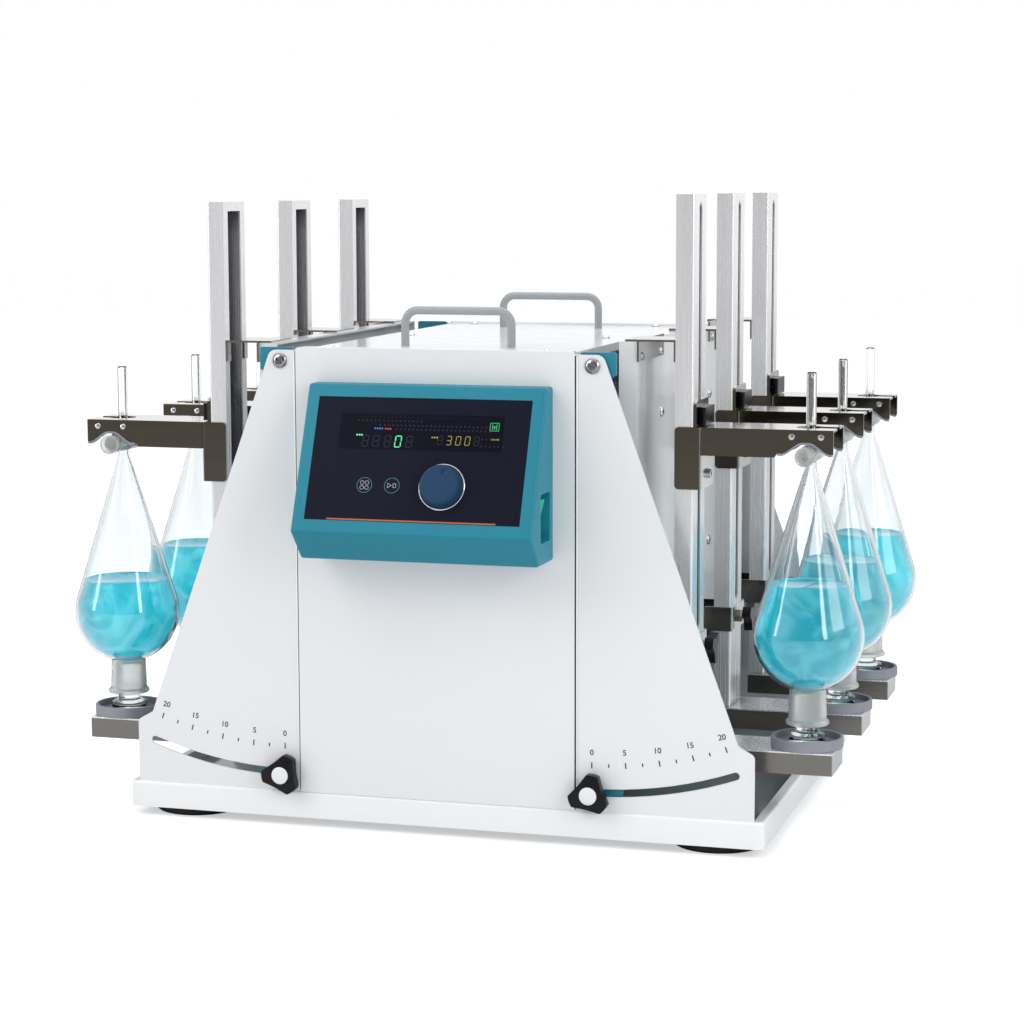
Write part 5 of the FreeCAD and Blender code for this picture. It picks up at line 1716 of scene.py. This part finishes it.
@dataclass
class Glassware:
    """One side's upside-down separating funnels, taps, stoppers, cups and liquid."""

    wardrobe: Wardrobe
    layout: Layout
    side: Side
    bulb: float = 51.9
    bulb_z: float = 104.6
    cone_z: float = 262.6
    neck: float = 17.0
    throat: float = 5.3
    bore: float = 2.8
    wall: float = 2.0
    play: float = 0.12
    liquid_foot: float = 56.8
    tap_z: float = 275.4
    levels: dict[Station, float] = field(default_factory=dict)

    def build(self) -> None:
        """Model the side's glass, liquid, cups and taps."""
        word = self.side.value
        glass, liquid, cups = Sketch(), Sketch(), Sketch()
        for station in Station:
            place = self._spot(station)
            self._funnel(glass, place)
            self._stopper(glass, place)
            self._liquid(liquid, place, self.levels[station])
            self._cup(cups, place)
        finishes = self.wardrobe.pick("clear_glass", "ground_glass")
        piece = glass.finish(word + "_funnel_glass", finishes, 40.0)
        settle(piece, word + "_carriage", "clear_glass", word + "_funnels")
        fill = liquid.finish(word + "_liquid", self.wardrobe.pick("blue_liquid"), 60.0)
        settle(fill, word + "_carriage", "clear_glass")
        rubber = cups.finish(word + "_cup_rubber", self.wardrobe.pick("grey_rubber"), 35.0)
        settle(rubber, word + "_carriage", "grey_rubber", word + "_cups")
        for station in Station:
            self._tap(station)

    def _spot(self, station: Station, rise: float = 0.0) -> Matrix:
        """Place on a post's tray, on the funnel's axis.

        Args:
            station: The post.
            rise: Height above the tray.

        Returns:
            The place.
        """
        return upright(self.side.sign * FUNNEL_X, self.layout.station_y[station],
                       self.layout.tray_top[self.side] + rise)

    def outline(self, inset: float) -> list[Pair]:
        """Pear profile from the neck up to the cone's top.

        Args:
            inset: Distance inside the outer surface.

        Returns:
            Radius and height pairs going up.
        """
        radius = self.bulb - inset
        lean = math.degrees(math.asin((self.bulb - self.throat) / (self.cone_z - self.bulb_z)))
        start = -math.degrees(math.acos((self.neck - inset) / radius))
        points = arc(radius, start, lean, 30, (0.0, self.bulb_z))
        top = max(self.throat - inset, self.bore)
        x0, z0 = points[-1]
        points += [(x0 + (top - x0) * t / 8, z0 + (self.cone_z - z0) * t / 8) for t in range(1, 9)]
        return points

    def _funnel(self, sketch: Sketch, place: Matrix) -> None:
        """Add one funnel: clear shell, ground socket, tap barrel and stem.

        Args:
            sketch: Where it goes.
            place: Its place on the tray.
        """
        rim = [(14.6, 21.5), (19.6, 21.5), (20.3, 22.3), (20.3, 24.4), (19.3, 25.8), (18.0, 26.6)]
        outer = self.outline(0.0)
        inner = self.outline(self.wall)
        sketch.mark = 0
        stem = [(4.7, 284.0), (4.7, 348.4), (4.45, 349.8), (3.8, 350.6), (3.2, 350.2), (self.bore, 348.9),
                (self.bore, 284.0)]
        shell = [(17.05, 55.0)] + outer + stem + inner[::-1] + [(15.0, 55.0)]
        sketch.lathe(shell, place, 72)
        sketch.mark = 1
        sketch.lathe(rim + [(17.1, 54.9), (14.9, 54.9)], place, 48)
        lift = Matrix.Translation((0, 0, self.tap_z))
        across = place @ lift @ Matrix.Rotation(math.radians(90), 4, "X")
        sketch.lathe([(6.05, -26), (8.4, -26), (8.9, -25), (8.5, -22), (8.7, 0), (8.5, 22), (8.9, 25),
                      (8.4, 26), (6.05, 26)], across, 40)

    def _stopper(self, sketch: Sketch, place: Matrix) -> None:
        """Add the hollow ground stopper that stands in the cup.

        Args:
            sketch: Where it goes.
            place: Its place on the tray.
        """
        sketch.mark = 0
        quarter = [(17.0, 0.0), (15.5, 8.6), (8.6, 15.5)]
        half = quarter + [(-y, x) for x, y in quarter]
        head = half + [(-x, -y) for x, y in half]
        points = []
        for scale, z in ((0.8, 4.0), (1.0, 6.0), (1.0, 12.0), (0.8, 14.0)):
            points += [place @ Vector((x * scale, y * scale, z)) for x, y in head]
        n = len(head)
        faces: list[Face] = [tuple(reversed(range(n))), tuple(range(3 * n, 4 * n))]
        for low in range(0, 3 * n, n):
            high = low + n
            faces += [(low + i, low + (i + 1) % n, high + (i + 1) % n, high + i) for i in range(n)]
        sketch.add(points, faces)
        sketch.lathe([(0, 13.6), (10.8, 13.6), (10.2, 16), (11.5, 19.5), (14.2, 21.0), (12.9, 50.0),
                      (11.5, 51.5), (0, 51.5)], place, 40)

    def _liquid(self, sketch: Sketch, place: Matrix, level: float) -> None:
        """Fill one funnel up to a level, with a meniscus.

        Args:
            sketch: Where it goes.
            place: Its place on the tray.
            level: Height of the liquid above the tray.
        """
        inside = self.outline(self.wall + self.play)
        wet = [(r, z) for r, z in inside if z < level - 1.0]
        r0, z0 = wet[-1]
        after = inside[len(wet)]
        t = (level - z0) / (after[1] - z0)
        edge = r0 + (after[0] - r0) * t
        top = [(edge, level), (edge - 1.2, level - 0.9), (edge - 3.5, level - 1.5), (0, level - 1.6)]
        sketch.lathe([(0, self.liquid_foot)] + wet + top, place, 72)

    def _cup(self, sketch: Sketch, place: Matrix) -> None:
        """Add one rubber cup.

        Args:
            sketch: Where it goes.
            place: Its place on the tray.
        """
        sketch.lathe([(0, 0.02), (33.0, 0.02), (34.0, 1.0), (34.0, 9.3), (33.2, 10.4), (31.4, 10.5),
                      (30.6, 9.9), (30.0, 4.6), (29.2, 3.95), (0, 3.95)], place, 64)

    def _tap(self, station: Station) -> None:
        """Replace one tap plug: plug, round nut and flat handle.

        Args:
            station: The post.
        """
        word = f"{station.value}_{self.side.value}"
        along = self._spot(station, self.tap_z) @ Matrix.Rotation(math.radians(90), 4, "X")
        sketch = Sketch()
        sketch.lathe([(0, -37.8), (6.5, -37.8), (6.9, -37), (6.9, -29.2), (6.0, -29), (6.0, 30.4),
                      (8.2, 30.4), (9.0, 31.4), (9.0, 35.2), (8.0, 36.3), (4.5, 36.4), (4.2, 35.6),
                      (0, 35.6)], along, 40)
        bar = arc(3.4, 90, 270, 8, (-11.5, 0)) + arc(3.4, -90, 90, 8, (11.5, 0))
        sketch.prism(bar, along, -37.8, -31.0)
        piece = sketch.finish(word + "_tap_piece", self.wardrobe.pick("ground_glass"), 35.0)
        settle(piece, word + "_tap", "frosted_glass", word + "_tap_plug")


@dataclass
class Arm:
    """One adjustable arm with its lining, rivets, clamp screw, catch and strap knob."""

    wardrobe: Wardrobe
    screws: ScrewKit
    layout: Layout
    side: Side
    station: Station
    top: float = 299.8
    cheek: float = 28.9
    notch_low: float = 22.2
    notch_high: float = 11.7
    lining: float = 1.95
    rivet_drop: float = 6.7
    clamp_x: float = 249.0
    clamp_drop: float = 45.4

    @property
    def word(self) -> str:
        """Name of the station and the side."""
        return f"{self.station.value}_{self.side.value}"

    def build(self) -> None:
        """Dress the arm and add its small pieces."""
        self.wardrobe.dress(self.word + "_arm", "arm_steel")
        self.wardrobe.dress(self.word + "_arm_catch", "black_knob")
        self.wardrobe.dress(self.word + "_strap_knob", "black_knob")
        self._lining()
        self._fasteners()

    def _lining(self) -> None:
        """Rubber strips along the notches of both cheeks."""
        y0 = self.layout.station_y[self.station]
        base = self.layout.tray_top[self.side] + self.top
        low, high = base - self.notch_low, base - self.notch_high
        upper = [(320.0, low), (324.5, low), (328.0, low + 1.6), (338.5, high - 1.3), (342.0, high),
                 (350.0, high), (353.5, high - 1.3), (364.0, low + 1.6), (367.5, low), (370.5, low)]
        lower = [(x, z - self.lining) for x, z in reversed(upper)]
        outline = [(x, z + 0.12) for x, z in upper] + lower
        sketch = Sketch()
        for sign in (-1, 1):
            middle = y0 + sign * (self.cheek - 1.0)
            points = [(self.side.sign * x, z) for x, z in outline]
            place = facing((0, middle, 0), (0, -1, 0))
            if self.side is Side.RIGHT:
                points.reverse()
            sketch.prism(points, place, -2.1, 2.1)
        piece = sketch.finish(self.word + "_lining", self.wardrobe.pick("lining_rubber"))
        settle(piece, self.word + "_arm", "grey_rubber")

    def _fasteners(self) -> None:
        """Rivets of the lining and the clamp screw."""
        y0 = self.layout.station_y[self.station]
        base = self.layout.tray_top[self.side] + self.top
        body = self.word + "_arm"
        for name, sign in (("front", -1), ("back", 1)):
            y = y0 + sign * self.cheek
            places = [(self.side.sign * x, y, base - self.rivet_drop) for x in (333.0, 360.0)]
            self.screws.fit(f"{self.word}_rivets_{name}", body, self.screws.rivet, places, (0, sign, 0))
        clamp = [(self.side.sign * self.clamp_x, y0, base - self.clamp_drop)]
        out = (self.side.sign, 0, 0)
        self.screws.fit(self.word + "_clamp_screw", body, self.screws.socket, clamp, out)


@dataclass
class TiltingSide:
    """One side: tilt frame, carriage, posts, brackets, arms and glassware."""

    wardrobe: Wardrobe
    screws: ScrewKit
    layout: Layout
    side: Side
    levels: dict[Station, float]
    plate_x: float = 187.7
    plate_depths: Pair = (132.8, 353.8)
    plate_rises: Pair = (304.8, 150.0)
    flange_x: float = 189.7
    flange_rise: float = 363.8
    bracket_starts: Point = (31.4, 213.7, 348.2)
    bracket_steps: Pair = (14.3, 89.8)

    def build(self) -> None:
        """Dress the side's nodes and build its sub-assemblies."""
        word = self.side.value
        finishes = {"tilt_frame": "teal_coat", "guide_rods": "bright_steel", "carriage": "carriage_coat",
                    "posts": word + "_post_steel", "post_fittings": "fitting_steel"}
        for node, finish in finishes.items():
            self.wardrobe.dress(f"{word}_{node}", finish)
        LockKnob(self.wardrobe, self.layout, self.side).build()
        Glassware(self.wardrobe, self.layout, self.side, levels=self.levels).build()
        for station in Station:
            Arm(self.wardrobe, self.screws, self.layout, self.side, station).build()
        self._screws()

    def _screws(self) -> None:
        """Screws of the carriage and of the brackets."""
        word, s = self.side.value, self.side.sign
        top = self.layout.tray_top[self.side]
        front = self.layout.front
        x = s * self.plate_x
        plate = [(x, front + d, top + z) for d in self.plate_depths for z in self.plate_rises]
        dome = self.screws.dome
        self.screws.fit(word + "_carriage_screws", word + "_carriage", dome, plate, (s, 0, 0), 1.2)
        x, z = s * self.flange_x, top + self.flange_rise
        flange = [(x, front + start + d, z) for start in self.bracket_starts for d in self.bracket_steps]
        self.screws.fit(word + "_bracket_screws", word + "_carriage", dome, flange, (s, 0, 0), 0.85)


@dataclass
class Studio:
    """Pale floor, soft lamps, background and the camera."""

    spot: Point = (0.73865, -2.45563, 0.61769)
    azimuth: float = 16.41
    elevation: float = 7.36
    roll: float = -0.14
    lens: float = 89.12
    floor_half: float = 9.0
    floor_glow: float = 0.62
    aim: Point = (0.0, 0.0, 0.3)
    even_light: Colour = (0.59, 0.59, 0.59)
    dark_front: Colour = (0.24, 0.235, 0.23)
    white: Colour = (1.0, 1.0, 1.0)

    def build(self) -> None:
        """Set the floor, the lamps, the world and the camera."""
        self._floor()
        self._lamps()
        self._world()
        self._camera()
        bpy.context.scene.view_settings.view_transform = "Standard"

    def _floor(self) -> None:
        """Large pale floor that keeps the object's shadow but shows white to the camera."""
        mesh = bpy.data.meshes.new("floor")
        r = self.floor_half
        mesh.from_pydata([(-r, -r, 0), (r, -r, 0), (r, r, 0), (-r, r, 0)], [], [(0, 1, 2, 3)])
        floor = bpy.data.objects.new("floor", mesh)
        bpy.context.scene.collection.objects.link(floor)
        bench = NodeBench("pale_floor")
        bench.set(Base_Color=(0.82, 0.83, 0.84, 1.0), Roughness=0.7, Specular_IOR_Level=0.1)
        path = bench.add("LightPath")
        seen = bench.add("Math", operation="MAXIMUM")
        bench.link(path.outputs["Is Camera Ray"], seen.inputs[0])
        bench.link(path.outputs["Is Transmission Ray"], seen.inputs[1])
        glow = bench.add("Emission")
        glow.inputs["Color"].default_value = (0.80, 0.81, 0.82, 1.0)
        level = bench.add("Math", operation="MULTIPLY")
        level.inputs[1].default_value = self.floor_glow
        bench.link(seen.outputs[0], level.inputs[0])
        bench.link(level.outputs[0], glow.inputs["Strength"])
        both = bench.add("AddShader")
        bench.link(bench.shader.outputs[0], both.inputs[0])
        bench.link(glow.outputs[0], both.inputs[1])
        out = next(n for n in bench.tree.nodes if n.type == "OUTPUT_MATERIAL")
        bench.link(both.outputs[0], out.inputs["Surface"])
        mesh.materials.append(bench.material)

    def _lamps(self) -> None:
        """Three large soft lamps and two tall narrow ones that draw the highlights on the glass."""
        lamps = (("key", (-1.6, -1.9, 2.3), 1.6, 1.6, 22.0), ("side", (2.6, -0.6, 1.5), 1.4, 1.4, 17.0),
                 ("top", (0.0, 0.6, 2.9), 2.2, 2.2, 25.0),
                 ("right_strip", (1.75, -1.6, 1.0), 0.34, 1.5, 10.0),
                 ("left_strip", (-2.1, -1.35, 1.0), 0.34, 1.5, 8.0))
        for name, spot, wide, tall, power in lamps:
            data = bpy.data.lights.new(name, "AREA")
            data.shape = "RECTANGLE"
            data.size = wide
            data.size_y = tall
            data.energy = power
            lamp = bpy.data.objects.new(name, data)
            lamp.location = spot
            way = Vector(self.aim) - Vector(spot)
            lamp.rotation_mode = "QUATERNION"
            lamp.rotation_quaternion = way.to_track_quat("-Z", "Y")
            bpy.context.scene.collection.objects.link(lamp)

    def _world(self) -> None:
        """White background; even light; a dark front half of the studio in mirror reflections."""
        world = bpy.data.worlds.new("studio")
        world.use_nodes = True
        bpy.context.scene.world = world
        tree = world.node_tree
        nodes, link = tree.nodes, tree.links.new
        back = nodes["Background"]
        path = nodes.new("ShaderNodeLightPath")
        where = nodes.new("ShaderNodeTexCoord")
        front = nodes.new("ShaderNodeVectorMath")
        front.operation = "DOT_PRODUCT"
        front.inputs[1].default_value = Vector((0.25, -0.93, -0.05)).normalized()
        link(where.outputs["Generated"], front.inputs[0])
        ramp = nodes.new("ShaderNodeValToRGB")
        ramp.color_ramp.elements[0].position = 0.55
        ramp.color_ramp.elements[0].color = (*self.white, 1.0)
        ramp.color_ramp.elements[1].position = 0.86
        ramp.color_ramp.elements[1].color = (*self.dark_front, 1.0)
        link(front.outputs["Value"], ramp.inputs["Fac"])
        pick = nodes.new("ShaderNodeMix")
        pick.data_type = "RGBA"
        pick.inputs[MIX_FIRST].default_value = (*self.even_light, 1.0)
        pick.inputs[MIX_SECOND].default_value = (*self.white, 1.0)
        seen = nodes.new("ShaderNodeMath")
        seen.operation = "MAXIMUM"
        link(path.outputs["Is Camera Ray"], seen.inputs[0])
        link(path.outputs["Is Transmission Ray"], seen.inputs[1])
        link(seen.outputs[0], pick.inputs[0])
        gloss = nodes.new("ShaderNodeMix")
        gloss.data_type = "RGBA"
        link(path.outputs["Is Glossy Ray"], gloss.inputs[0])
        link(pick.outputs[MIX_RESULT], gloss.inputs[MIX_FIRST])
        link(ramp.outputs["Color"], gloss.inputs[MIX_SECOND])
        link(gloss.outputs[MIX_RESULT], back.inputs["Color"])

    def _camera(self) -> None:
        """Camera at the photograph's place and angle."""
        a, e, r = (math.radians(v) for v in (self.azimuth, self.elevation, self.roll))
        ahead = Vector((-math.sin(a) * math.cos(e), math.cos(a) * math.cos(e), -math.sin(e)))
        right = Vector((math.cos(a), math.sin(a), 0.0))
        up = right.cross(ahead)
        x_axis = right * math.cos(r) + up * math.sin(r)
        y_axis = up * math.cos(r) - right * math.sin(r)
        data = bpy.data.cameras.new("camera")
        data.lens = self.lens
        data.sensor_width = 36.0
        data.clip_start = 0.05
        data.clip_end = 60.0
        camera = bpy.data.objects.new("camera", data)
        turn = Matrix((x_axis, y_axis, -ahead)).transposed().to_4x4()
        camera.matrix_world = Matrix.Translation(Vector(self.spot)) @ turn
        bpy.context.scene.collection.objects.link(camera)
        bpy.context.scene.camera = camera


def main() -> None:
    """Build the machine piece by piece."""
    logging.basicConfig(level=logging.INFO, format="%(message)s")
    layout = Layout.read()
    wardrobe = Wardrobe()
    repeater = Repeater()
    screws = ScrewKit(wardrobe, repeater)
    Casing(wardrobe, screws, layout).build()
    TiltScale(wardrobe, TickScale(), layout).build()
    ControlPanel(wardrobe, layout).build()
    fill = {
        Side.RIGHT: {Station.FRONT: 154.1, Station.MIDDLE: 151.1, Station.REAR: 153.8},
        Side.LEFT: {Station.FRONT: 137.4, Station.MIDDLE: 148.0, Station.REAR: 148.0},
    }
    for side in Side:
        TiltingSide(wardrobe, screws, layout, side, fill[side]).build()
    Studio().build()


if __name__ == "__main__":
    main()
